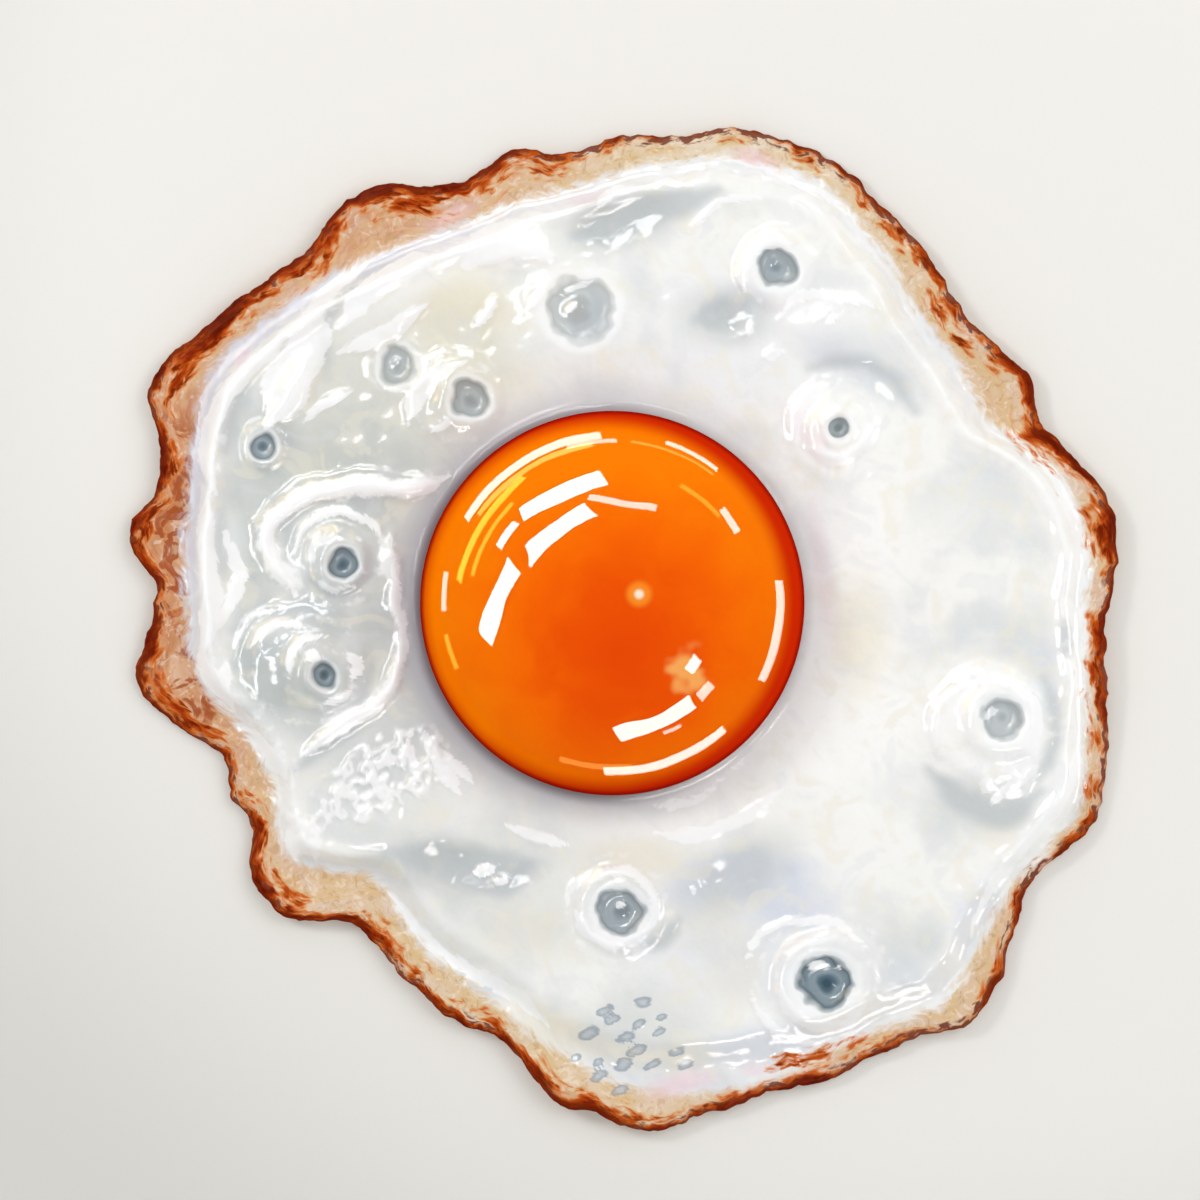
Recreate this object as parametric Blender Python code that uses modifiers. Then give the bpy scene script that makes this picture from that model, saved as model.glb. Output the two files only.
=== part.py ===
"""A fried egg, sunny side up: a blistered white with a crisp brown fringe, and the round yolk that sits in it.

The origin is on the face that the egg rests on, under the middle of the yolk. Lengths are in metres, +Z is up.
"""

import math

import bmesh
import bpy
import numpy as np
from mathutils import Vector, geometry, noise

MM = 0.001

# Yolk: a squashed ball, widest at its equator and flattened where it sits
YOLK_RADIUS = 22 * MM
YOLK_EQUATOR = 6.2 * MM
YOLK_TOP = 16.8 * MM
YOLK_SEAT = 1.7 * MM
YOLK_SQUARENESS = 2.25
GAP = 0.35 * MM

# White: heights of its upper side above the resting face. A low shoulder runs round the yolk
BODY_HEIGHT = 4.0 * MM
SHOULDER_RISE = 0.7 * MM
SHOULDER_AT = 28 * MM
SHOULDER_WIDTH = 8 * MM
FRINGE_THICKNESS = 1.3 * MM
FRINGE_GAIN = 0.5 * MM
STEP_WIDTH = 3.0 * MM
LIP_INSET = 2.6 * MM
LIP_WIDTH = 1.4 * MM
LIP_FOOT = 4.6 * MM
ROLL_HEIGHT = 0.3 * MM
ROLL_GRAIN = 13 * MM
CRAG_HEIGHT = 0.3 * MM
CRAG_REACH = 0.35 * MM
CRAG_GRAIN = 3.6 * MM
EDGE_ROUND = 0.9 * MM
EDGE_WANDER = 0.6 * MM
WANDER_GRAIN = 6.5 * MM
CALM_START = 22.8 * MM
CALM_END = 27 * MM

# The fringe curls off the resting face: mean lift and three waves round the rim (lift, count, phase)
LIFT = 1.0 * MM
LIFT_WAVES = ((0.45 * MM, 3, 0.6), (0.3 * MM, 8, 2.0), (0.2 * MM, 17, 4.0))
CURL_WIDTH = 6.5 * MM

# Crests, notches and bends of the rim: bearing in degrees about the yolk, and reach in mm
RIM = (
    (6, 58.4), (12, 58.2), (18, 55.4), (23.5, 53.4), (28, 54.4), (34, 52.9), (42, 52.4), (47, 53.8),
    (55, 55.1), (64, 56.8), (72, 56.6), (76, 56.3), (80, 54.5), (88, 53.8), (97, 51.9), (102, 53.3),
    (108, 51.6), (113, 52.1), (119, 55.0), (125, 55.0), (131, 53.6), (139, 54.9), (147, 56.7), (155, 58.7),
    (161, 54.8), (166, 54.1), (172, 56.1), (178, 52.4), (184, 53.6), (189.5, 55.2), (196, 51.8), (202, 48.0),
    (207, 49.0), (211, 48.5), (218, 52.2), (223, 52.3), (231, 47.4), (238, 48.5), (248, 50.9), (257, 52.2),
    (263, 57.3), (268, 58.7), (273, 60.8), (281, 59.6), (288, 59.2), (295, 60.4), (300, 60.1), (304, 60.6),
    (311, 63.4), (316, 62.0), (321, 59.5), (328, 58.1), (332, 59.5), (336, 60.9), (343, 59.4), (351, 57.4),
    (358, 56.8),
)

# Where the thick white ends and the thin crisp fringe begins: bearing in degrees, reach in mm
BODY_EDGE = (
    (0, 54.7), (8, 55.4), (16, 53.6), (25, 48.6), (36, 48.2), (45, 48.6), (55, 51.6), (64, 53.6), (73, 53.2),
    (85, 50.2), (98, 47.8), (115, 47.0), (130, 49.2), (142, 51.4), (152, 53.0), (160, 51.4), (170, 49.8),
    (182, 49.2), (190, 48.6), (198, 45.6), (208, 44.4), (218, 47.4), (229, 41.8), (240, 44.6), (250, 46.0),
    (260, 49.8), (268, 53.0), (276, 54.8), (286, 56.4), (298, 56.6), (311, 59.2), (322, 56.2), (335, 58.2),
    (347, 56.6),
)

# Height of the swollen lip just inside the fringe: bearing in degrees, height in mm
LIP = (
    (0, 0.7), (30, 0.7), (60, 0.4), (95, 0.4), (125, 1.1), (140, 1.3), (157, 1.2), (172, 1.4), (188, 1.4),
    (202, 1.0), (216, 0.6), (240, 0.5), (258, 0.8), (275, 0.5), (300, 0.4), (330, 0.6),
)

# Burst blisters, in mm: middle of the pit (x, y), pit radius, pit depth, middle of the swelling (x, y),
# its radius and its height
BUBBLES = (
    (19.0, 38.5, 2.2, 1.3, 18.6, 38.5, 4.8, 0.9),
    (-24.7, 27.4, 2.2, 0.8, -24.7, 27.2, 3.4, 0.3),
    (-16.3, 23.4, 2.2, 1.0, -18.2, 23.6, 5.4, 0.9),
    (-40.0, 18.1, 1.4, 0.9, -39.8, 18.0, 2.8, 0.5),
    (-3.7, 33.7, 3.8, 0.8, -3.9, 33.7, 6.0, 0.7),
    (-30.9, 4.7, 1.7, 1.3, -31.5, 5.2, 5.2, 1.2),
    (-33.0, -8.3, 1.5, 1.2, -35.4, -7.4, 8.8, 1.7),
    (26.0, 20.1, 1.3, 1.2, 26.4, 20.0, 6.2, 1.3),
    (44.6, -13.2, 2.4, 1.4, 43.2, -14.6, 8.6, 1.6),
    (0.9, -35.3, 2.7, 1.3, 0.6, -35.0, 5.8, 1.0),
    (24.6, -43.4, 3.1, 1.5, 24.2, -43.2, 7.8, 1.4),
)
# A raised collar runs round each pit. Its place and width, and the pit's slope, are in pit radii
COLLAR_SHARE = 0.4
COLLAR_AT = 1.45
COLLAR_WIDTH = 0.42
PIT_FLOOR = 0.45
PIT_BRIM = 1.2
PIT_RINGS = (0.55, 1.0, COLLAR_AT)
SWELLING_RINGS = (0.75, 1.0)

# Whole blisters and dimples, in mm: middle (x, y), half lengths (a, b), tilt in degrees, height
SWELLINGS = (
    (-26.1, 34.3, 8.0, 4.4, 35, 1.3),
    (-10.6, 40.4, 6.2, 2.8, 8, 0.9),
    (25.6, 30.8, 8.0, 4.6, -15, 1.0),
    (-36.4, 24.6, 6.2, 2.6, 62, 0.8),
    (12.7, 33.1, 3.4, 2.8, 0, -0.6),
    (0.9, 43.8, 7.4, 3.0, 22, -0.7),
    (-16.0, -30.0, 10.0, 2.8, -6, -0.8),
    (13.5, -31.5, 6.0, 3.2, 40, -0.5),
)

# Folds of loose skin round the blisters on the left, in mm: points along the crest, height and half width
FOLDS = (
    (((-18, 15), (-23, 13), (-29, 13.4), (-36, 12), (-39.6, 8.4), (-38.6, 4.4), (-35.8, 0.6)), 0.9, 1.3),
    (((-25.6, 9.5), (-24.8, 1.5), (-24.2, -5.4), (-26.2, -10.6), (-30.4, -13.6), (-36.6, -18.2)), 0.8, 1.0),
)
FOLD_FADE = 0.12
FOLD_FOOT = 1.1
FOLD_STEPS = 6
FOLD_SPACING = 2

# How finely the white is drawn: counts of points, and how far apart they are at least
RIM_POINTS = 220
RIM_BEARINGS = np.arange(RIM_POINTS) * 360 / RIM_POINTS
FIELD_GRID = 3.0 * MM
FIELD_REACH = 66 * MM
LEAST_SPACING = 0.5 * MM
LEAST_TO_FIELD = 1.8 * MM
RING_SPACING = 1.1 * MM
RING_POINTS = 16
POCKET_POINTS = 56
POCKET_ROWS = (0.02, 0.1, 0.25, 0.45, 0.7, 1.0)
UNDERSIDE_INSETS = (0.5 * MM, 3.0 * MM, 7.0 * MM)
MERGE = 0.01 * MM

YOLK_STEPS = 56
YOLK_PROFILE_POINTS = 18

WHITE_COLOUR = (0.86, 0.85, 0.81, 1)
YOLK_COLOUR = (0.95, 0.33, 0.01, 1)


def smooth_step(low, high, value):
    share = np.clip((value - low) / (high - low), 0, 1)
    return share * share * (3 - 2 * share)


def bump(distance, width):
    return np.exp(-((distance / width) ** 2))


def through(knots_at, knots, at):
    """Value at each place on a smooth curve through the knots."""
    slope = np.gradient(knots, knots_at)
    left = np.clip(np.searchsorted(knots_at, at, side="right") - 1, 0, len(knots_at) - 2)
    span = knots_at[left + 1] - knots_at[left]
    t = (at - knots_at[left]) / span
    start = knots[left] * (1 + 2 * t) * (1 - t) ** 2 + slope[left] * span * t * (1 - t) ** 2
    end = knots[left + 1] * t**2 * (3 - 2 * t) + slope[left + 1] * span * t**2 * (t - 1)
    return start + end


def round_rim(table, bearing):
    """Value in metres at each bearing in degrees, from a table that goes once round in mm."""
    at, value = np.array(table, float).T
    at = np.concatenate([at[-2:] - 360, at, at[:2] + 360])
    value = np.concatenate([value[-2:], value, value[:2]])
    return through(at, value, bearing) * MM


def noise_at(x, y, grain, layer):
    """Smooth noise from about -1 to 1, with features about a grain across. Each layer has its own pattern."""
    points = (Vector((px / grain, py / grain, layer)) for px, py in zip(x, y))
    return np.array([noise.fractal(p, 1.0, 2.0, 2, noise_basis="PERLIN_ORIGINAL") for p in points])


def bearing_of(x, y):
    return np.degrees(np.arctan2(y, x)) % 360


def reach_at(bearing):
    angle = np.radians(bearing)
    reach = round_rim(RIM, bearing)
    crags = noise_at(reach * np.cos(angle), reach * np.sin(angle), CRAG_GRAIN, 7.3)
    return reach + CRAG_REACH * crags


def body_edge_at(bearing):
    angle = np.radians(bearing)
    reach = round_rim(BODY_EDGE, bearing)
    wander = noise_at(reach * np.cos(angle), reach * np.sin(angle), WANDER_GRAIN, 2.9)
    return reach + EDGE_WANDER * wander


def lift_at(bearing):
    angle = np.radians(bearing)
    return LIFT + sum(lift * np.sin(count * angle + phase) for lift, count, phase in LIFT_WAVES)


def underside(bearing, inset):
    return lift_at(bearing) * (1 - smooth_step(0, CURL_WIDTH, inset))


def bubble_relief(x, y, bubble):
    pit_x, pit_y, pit_radius, pit_depth, x0, y0, radius, height = np.array(bubble) * MM
    out = np.hypot(x - x0, y - y0) / radius
    swelling = height * np.clip(1 - out**2, 0, None) ** 1.5
    from_pit = np.hypot(x - pit_x, y - pit_y) / pit_radius
    collar = COLLAR_SHARE * height * bump(from_pit - COLLAR_AT, COLLAR_WIDTH)
    pit = -pit_depth * (1 - smooth_step(PIT_FLOOR, PIT_BRIM, from_pit))
    return swelling + collar + pit


def swelling_relief(x, y, swelling):
    x0, y0, half_a, half_b, tilt, height = swelling
    turn = math.radians(tilt)
    along = ((x - x0 * MM) * math.cos(turn) + (y - y0 * MM) * math.sin(turn)) / (half_a * MM)
    across = ((y - y0 * MM) * math.cos(turn) - (x - x0 * MM) * math.sin(turn)) / (half_b * MM)
    return height * MM * np.clip(1 - along**2 - across**2, 0, None) ** 1.5


def fold_line(crest):
    """Points close together along a fold's crest, in metres."""
    knots_at = np.arange(len(crest), dtype=float)
    at = np.linspace(0, len(crest) - 1, (len(crest) - 1) * FOLD_STEPS + 1)
    xs, ys = np.array(crest, float).T
    return through(knots_at, xs, at) * MM, through(knots_at, ys, at) * MM


def fold_relief(x, y, fold):
    crest, height, half_width = fold
    xs, ys = fold_line(crest)
    distance = np.hypot(x[:, None] - xs, y[:, None] - ys)
    nearest = distance.argmin(axis=1)
    along = nearest / (len(xs) - 1)
    ends = smooth_step(0, FOLD_FADE, along) * smooth_step(0, FOLD_FADE, 1 - along)
    return height * MM * ends * bump(distance.min(axis=1), half_width * MM)


def pocket_radius(height):
    """Radius of the hollow that the yolk sits in, at a height."""
    depth = (YOLK_EQUATOR - GAP - height) / (YOLK_EQUATOR - YOLK_SEAT)
    return (YOLK_RADIUS + GAP) * np.clip(1 - depth**YOLK_SQUARENESS, 0, None) ** (1 / YOLK_SQUARENESS)


def pocket_height(radius):
    out = np.clip(radius / (YOLK_RADIUS + GAP), 0, 1)
    depth = np.clip(1 - out**YOLK_SQUARENESS, 0, None) ** (1 / YOLK_SQUARENESS)
    return YOLK_EQUATOR - GAP - (YOLK_EQUATOR - YOLK_SEAT) * depth


def calm_height(radius):
    """Height of the white round the yolk, where it has no relief."""
    return BODY_HEIGHT + SHOULDER_RISE * bump(radius - SHOULDER_AT, SHOULDER_WIDTH)


def top_height(x, y):
    """Height of the white's upper side at each point of the plan."""
    bearing, radius = bearing_of(x, y), np.hypot(x, y)
    reach, body_edge = reach_at(bearing), body_edge_at(bearing)
    inset = np.clip(reach - radius, 0, None)
    inside = body_edge - radius
    body = smooth_step(0, STEP_WIDTH, inside)
    fringe_share = np.clip(inset / (reach - body_edge), 0, 1)
    edge = np.sqrt(np.clip(inset / EDGE_ROUND, 0, 1))
    thickness = (FRINGE_THICKNESS + FRINGE_GAIN * fringe_share) * (0.5 + 0.5 * edge)
    crags = CRAG_HEIGHT * noise_at(x, y, CRAG_GRAIN, 1.7) * (1 - body) * edge
    fringe = underside(bearing, inset) + thickness + crags

    relief = ROLL_HEIGHT * noise_at(x, y, ROLL_GRAIN, 4.1)
    relief += sum(bubble_relief(x, y, bubble) for bubble in BUBBLES)
    relief += sum(swelling_relief(x, y, swelling) for swelling in SWELLINGS)
    relief += sum(fold_relief(x, y, fold) for fold in FOLDS)
    relief += round_rim(LIP, bearing) * bump(inside - LIP_INSET, LIP_WIDTH)
    full = calm_height(radius) + relief * smooth_step(CALM_START, CALM_END, radius)
    surface = fringe * (1 - body) + full * body
    over_yolk = radius < YOLK_RADIUS + GAP
    return np.where(over_yolk, np.minimum(surface, pocket_height(radius)), surface)


def ring(x0, y0, radius, count):
    angle = np.arange(count) * 2 * np.pi / count
    return np.column_stack([x0 + radius * np.cos(angle), y0 + radius * np.sin(angle)])


def row_at(radius):
    """A row of points round the egg, with a reach for each of the rim's bearings."""
    angle = np.radians(RIM_BEARINGS)
    return np.column_stack([radius * np.cos(angle), radius * np.sin(angle)])


def edge_rows():
    """Rows along the rim's edge, the thin fringe, the foot and the middle of the step, and the lip."""
    rim, body_edge = reach_at(RIM_BEARINGS), body_edge_at(RIM_BEARINGS)
    rows = [row_at(rim - EDGE_ROUND), row_at((rim + body_edge) / 2)]
    rows += [row_at(body_edge - inset) for inset in (0, STEP_WIDTH / 2, LIP_INSET)]
    return rows + [row_at(body_edge - LIP_FOOT)[::2]]


def pocket_rows():
    floor = YOLK_SEAT - GAP
    heights = floor + np.array(POCKET_ROWS) * (calm_height(YOLK_RADIUS) - floor)
    radii = [*pocket_radius(heights), CALM_START]
    return [np.zeros((1, 2))] + [ring(0, 0, radius, POCKET_POINTS) for radius in radii]


def bubble_rows(bubble):
    """The middle of a pit, rings round the pit and rings round the swelling."""
    pit_x, pit_y, pit_radius, _, x0, y0, radius, _ = np.array(bubble) * MM
    rings = [(pit_x, pit_y, share * pit_radius) for share in PIT_RINGS]
    rings += [(x0, y0, share * radius) for share in SWELLING_RINGS]
    counts = [min(RING_POINTS, round(math.tau * reach / RING_SPACING)) for _, _, reach in rings]
    return [np.array([[pit_x, pit_y]])] + [ring(*place, count) for place, count in zip(rings, counts)]


def fold_rows(fold):
    """Points along the crest of a fold and along both of its feet."""
    crest, _, half_width = fold
    line = np.column_stack(fold_line(crest))[::FOLD_SPACING]
    way = np.gradient(line, axis=0)
    side = np.column_stack([-way[:, 1], way[:, 0]]) / np.linalg.norm(way, axis=1)[:, None]
    return [line + side * half_width * MM * share for share in (0, FOLD_FOOT, -FOLD_FOOT)]


def field_points():
    """An even triangular grid over the whole white."""
    half = int(FIELD_REACH / FIELD_GRID)
    row, column = np.mgrid[-half : half + 1, -half : half + 1]
    x = (column + 0.5 * (row % 2)) * FIELD_GRID
    return np.column_stack([x.ravel(), (row * FIELD_GRID * math.sqrt(0.75)).ravel()])


def plan_points():
    """The rim first, then every point inside it that is clear of those before it."""
    rows = edge_rows() + pocket_rows()
    rows += [row for bubble in BUBBLES for row in bubble_rows(bubble)]
    rows += [row for fold in FOLDS for row in fold_rows(fold)]
    shaped = np.concatenate(rows)
    points = np.concatenate([row_at(reach_at(RIM_BEARINGS)), shaped, field_points()])
    least = np.full(len(points), LEAST_SPACING)
    least[RIM_POINTS + len(shaped) :] = LEAST_TO_FIELD
    inset = reach_at(bearing_of(*points.T)) - np.hypot(*points.T)
    kept = np.arange(len(points)) < RIM_POINTS
    for i in np.flatnonzero(inset > EDGE_ROUND / 2):
        apart = np.hypot(*(points[kept] - points[i]).T)
        kept[i] = (apart > least[i]).all()
    return points[kept]


def upper_side():
    """The white's upper side, as a triangulated sheet that ends at the rim."""
    points = plan_points()
    rim_edges = [(i, (i + 1) % RIM_POINTS) for i in range(RIM_POINTS)]
    flat, _, faces, *_ = geometry.delaunay_2d_cdt([Vector(p) for p in points], rim_edges, [], 1, MERGE)
    x, y = np.array([tuple(p) for p in flat]).T
    mesh = bmesh.new()
    verts = [mesh.verts.new(co) for co in zip(x, y, top_height(x, y))]
    for face in faces:
        mesh.faces.new([verts[i] for i in face])
    return mesh


def close_underneath(mesh):
    """Rolls the rim under in a few rows and closes it with the flat face that the egg rests on."""
    edges = [edge for edge in mesh.edges if edge.is_boundary]
    for inset in UNDERSIDE_INSETS:
        grown = bmesh.ops.extrude_edge_only(mesh, edges=edges)["geom"]
        verts = [item for item in grown if isinstance(item, bmesh.types.BMVert)]
        x, y = np.array([tuple(vert.co)[:2] for vert in verts]).T
        bearing = bearing_of(x, y)
        radius = reach_at(bearing) - inset
        angle = np.radians(bearing)
        places = zip(radius * np.cos(angle), radius * np.sin(angle), underside(bearing, inset))
        for vert, place in zip(verts, places):
            vert.co = place
        edges = [item for item in grown if isinstance(item, bmesh.types.BMEdge) and item.is_boundary]
    bmesh.ops.contextual_create(mesh, geom=edges)
    bmesh.ops.recalc_face_normals(mesh, faces=mesh.faces)


def material(name, colour, roughness):
    made = bpy.data.materials.new(name)
    made.use_nodes = True
    shader = made.node_tree.nodes["Principled BSDF"]
    shader.inputs["Base Color"].default_value = colour
    shader.inputs["Roughness"].default_value = roughness
    shader.inputs["Metallic"].default_value = 0
    return made


def new_object(name, mesh, collection, finish):
    made = bpy.data.objects.new(name, mesh)
    collection.objects.link(made)
    mesh.materials.append(finish)
    mesh.shade_smooth()
    return made


def egg_white(collection):
    sheet = upper_side()
    close_underneath(sheet)
    mesh = bpy.data.meshes.new("egg_white")
    sheet.to_mesh(mesh)
    sheet.free()
    return new_object("egg_white", mesh, collection, material("cooked white", WHITE_COLOUR, 0.3))


def yolk_profile():
    """Outer side of the yolk from its top to its underside, as (radius, height)."""
    turn = np.linspace(math.pi / 2, -math.pi / 2, YOLK_PROFILE_POINTS)
    power = 2 / YOLK_SQUARENESS
    radius = YOLK_RADIUS * np.abs(np.cos(turn)) ** power
    rise = np.where(turn > 0, YOLK_TOP - YOLK_EQUATOR, YOLK_EQUATOR - YOLK_SEAT)
    height = YOLK_EQUATOR + rise * np.sign(np.sin(turn)) * np.abs(np.sin(turn)) ** power
    radius[[0, -1]] = 0
    return zip(radius, height)


def egg_yolk(collection):
    mesh = bpy.data.meshes.new("egg_yolk")
    profile = [(radius, 0, height) for radius, height in yolk_profile()]
    mesh.from_pydata(profile, [(i, i + 1) for i in range(len(profile) - 1)], [])
    made = new_object("egg_yolk", mesh, collection, material("yolk", YOLK_COLOUR, 0.12))
    turned = made.modifiers.new("turned", "SCREW")
    turned.steps = turned.render_steps = YOLK_STEPS
    turned.use_merge_vertices = True
    turned.merge_threshold = MERGE
    turned.use_smooth_shade = True
    return made


def main():
    for old in list(bpy.data.objects):
        bpy.data.objects.remove(old, do_unlink=True)
    collection = bpy.data.collections.new("fried_egg")
    bpy.context.scene.collection.children.link(collection)
    egg_white(collection)
    egg_yolk(collection)


main()
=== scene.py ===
"""Looks of the fried egg: fine meshes and finishes for its white and yolk, on a pale floor, from above.

Lengths are in metres unless a name or comment says otherwise. +Z is up and +X is to the right in the picture.
"""

import math

import bpy
import numpy as np
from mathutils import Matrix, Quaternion, Vector, noise


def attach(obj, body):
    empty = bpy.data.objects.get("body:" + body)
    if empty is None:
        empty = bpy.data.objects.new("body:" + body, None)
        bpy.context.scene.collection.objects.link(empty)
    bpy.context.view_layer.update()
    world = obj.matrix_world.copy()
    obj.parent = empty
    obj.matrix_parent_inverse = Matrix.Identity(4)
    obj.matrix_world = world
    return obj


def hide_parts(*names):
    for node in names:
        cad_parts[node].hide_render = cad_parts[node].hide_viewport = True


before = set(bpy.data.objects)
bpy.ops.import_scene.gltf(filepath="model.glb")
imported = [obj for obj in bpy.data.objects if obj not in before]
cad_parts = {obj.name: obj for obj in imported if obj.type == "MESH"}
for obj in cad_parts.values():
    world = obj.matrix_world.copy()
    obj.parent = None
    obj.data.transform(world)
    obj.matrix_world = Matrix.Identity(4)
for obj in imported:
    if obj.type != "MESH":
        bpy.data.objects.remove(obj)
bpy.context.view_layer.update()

MM = 0.001

# Octaves of the noise in the shapes: how fast they fade, how much finer each is, and how many there are
OCTAVES = (1.0, 2.0, 2)

# Yolk: a squashed ball, widest at its equator and flattened where it sits
YOLK_RADIUS = 22 * MM
YOLK_EQUATOR = 6.2 * MM
YOLK_TOP = 16.8 * MM
YOLK_SEAT = 1.7 * MM
YOLK_SQUARENESS = 2.25

# White: heights of its upper side above the resting face. A low shoulder runs round the yolk
BODY_HEIGHT = 4.0 * MM
SHOULDER_RISE = 0.7 * MM
SHOULDER_AT = 28 * MM
SHOULDER_WIDTH = 8 * MM
FRINGE_THICKNESS = 1.3 * MM
FRINGE_GAIN = 0.5 * MM
RIM_THINNESS = 0.5
LIP_INSET = 2.6 * MM
LIP_WIDTH = 1.4 * MM
ROLL_HEIGHT = 0.3 * MM
ROLL_GRAIN = 13 * MM
CRAG_HEIGHT = 0.3 * MM
CRAG_REACH = 0.35 * MM
CRAG_GRAIN = 3.6 * MM
EDGE_ROUND = 0.9 * MM
EDGE_WANDER = 0.6 * MM
WANDER_GRAIN = 6.5 * MM
CALM_START = 22.8 * MM
CALM_END = 27 * MM
CALM_FINE_RELIEF = 0.15

# The fringe curls off the resting face: mean lift and three waves round the rim (lift, count, phase)
LIFT = 1.0 * MM
LIFT_WAVES = ((0.45 * MM, 3, 0.6), (0.3 * MM, 8, 2.0), (0.2 * MM, 17, 4.0))
CURL_WIDTH = 6.5 * MM

# Crests, notches and bends of the rim: bearing in degrees about the yolk, and reach in mm
RIM = (
    (6, 58.4), (12, 58.2), (18, 55.4), (23.5, 53.4), (28, 54.4), (34, 52.9), (42, 52.4), (47, 53.8),
    (55, 55.1), (64, 56.8), (72, 56.6), (76, 56.3), (80, 54.5), (88, 53.8), (97, 51.9), (102, 53.3),
    (108, 51.6), (113, 52.1), (119, 55), (125, 55), (131, 53.6), (139, 54.9), (147, 56.7), (155, 58.7),
    (161, 54.8), (166, 54.1), (172, 56.1), (178, 52.4), (184, 53.6), (189.5, 55.2), (196, 51.8), (202, 48),
    (207, 49), (211, 48.5), (218, 52.2), (223, 52.3), (231, 47.4), (238, 48.5), (248, 50.9), (257, 52.2),
    (263, 57.3), (268, 58.7), (273, 60.8), (281, 59.6), (288, 59.2), (295, 60.4), (300, 60.1), (304, 60.6),
    (311, 63.4), (316, 62), (321, 59.5), (328, 58.1), (332, 59.5), (336, 60.9), (343, 59.4), (351, 57.4),
    (358, 56.8),
)

# Where the thick white ends and the thin crisp fringe begins: bearing in degrees, reach in mm
BODY_EDGE = (
    (0, 54.7), (8, 55.4), (16, 53.6), (25, 48.6), (36, 48.2), (45, 48.6), (55, 51.6), (64, 53.6),
    (73, 53.2), (85, 50.2), (98, 47.8), (115, 47), (130, 49.2), (142, 51.4), (152, 53), (160, 51.4),
    (170, 49.8), (182, 49.2), (190, 48.6), (198, 45.6), (208, 44.4), (218, 47.4), (229, 41.8), (240, 44.6),
    (250, 46), (260, 49.8), (268, 53), (276, 54.8), (286, 56.4), (298, 56.6), (311, 59.2), (322, 56.2),
    (335, 58.2), (347, 56.6),
)

# Height of the swollen lip just inside the fringe: bearing in degrees, height in mm
LIP = (
    (0, 0.7), (30, 0.7), (60, 0.4), (95, 0.4), (125, 1.1), (140, 1.3), (157, 1.2), (172, 1.4), (188, 1.4),
    (202, 1), (216, 0.6), (240, 0.5), (258, 0.3), (275, 0.1), (300, 0.2), (330, 0.5),
)

# Width of the step down from the thick white to the fringe: bearing in degrees, mm
STEP = (
    (0, 3.2), (60, 3.6), (95, 3.2), (130, 3), (200, 3), (235, 3.6), (260, 4.8), (290, 4.8), (310, 4),
    (335, 3.4),
)

# Burst blisters, in mm: middle of the pit (x, y), pit radius, pit depth, middle of the swelling (x, y),
# its radius and its height
BUBBLES = (
    (19, 38.5, 2.2, 1.3, 18.6, 38.5, 4.8, 0.9),
    (-24.7, 27.4, 2.2, 0.8, -24.7, 27.2, 3.4, 0.3),
    (-16.3, 23.4, 2.2, 1, -18.2, 23.6, 5.4, 0.9),
    (-40, 18.1, 1.4, 0.9, -39.8, 18, 2.8, 0.5),
    (-3.7, 33.7, 3.8, 0.8, -3.9, 33.7, 6, 0.7),
    (-30.9, 4.7, 1.7, 1.3, -31.5, 5.2, 5.2, 1.2),
    (-33, -8.3, 1.5, 1.2, -35.4, -7.4, 8.8, 1.7),
    (26, 20.1, 1.3, 1.2, 26.4, 20, 6.2, 1.3),
    (44.6, -13.2, 2.4, 1.4, 43.2, -14.6, 8.6, 1.6),
    (0.9, -35.3, 2.7, 1.3, 0.6, -35, 5.8, 1),
    (24.6, -43.4, 3.1, 1.5, 24.2, -43.2, 7.8, 1.4),
)

# How dark the film in each of those pits is
FILM_SHADES = (0.75, 0.5, 0.65, 0.85, 0.5, 0.9, 0.85, 0.75, 0.6, 0.8, 1.0)

# A raised collar runs round each pit. Its place and width, and the pit's slope, are in pit radii
COLLAR_SHARE = 0.4
COLLAR_AT = 1.45
COLLAR_WIDTH = 0.42
PIT_FLOOR = 0.45
PIT_BRIM = 1.2

# Whole blisters and dimples, in mm: middle (x, y), half lengths (a, b), tilt in degrees, height
SWELLINGS = (
    (-26.1, 34.3, 8, 4.4, 35, 1.3), (-10.6, 40.4, 6.2, 2.8, 8, 0.9), (25.6, 30.8, 8, 4.6, -15, 1),
    (-36.4, 24.6, 6.2, 2.6, 62, 0.8), (12.7, 33.1, 3.4, 2.8, 0, -0.6), (0.9, 43.8, 7.4, 3, 22, -0.7),
    (-16, -30, 10, 2.8, -6, -0.8), (13.5, -31.5, 6, 3.2, 40, -0.5),
)

# How softly a swelling begins at its foot
SOFT_FOOT = 1.5

# Folds of loose skin round the blisters on the left, in mm: points along the crest, height and half width
FOLDS = (
    (((-18, 15), (-23, 13), (-29, 13.4), (-36, 12), (-39.6, 8.4), (-38.6, 4.4), (-35.8, 0.6)), 0.9, 1.3),
    (((-25.6, 9.5), (-24.8, 1.5), (-24.2, -5.4), (-26.2, -10.6), (-30.4, -13.6), (-36.6, -18.2)), 0.8, 1.0),
)
FOLD_FADE = 0.12
LINE_STEPS = 6

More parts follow.
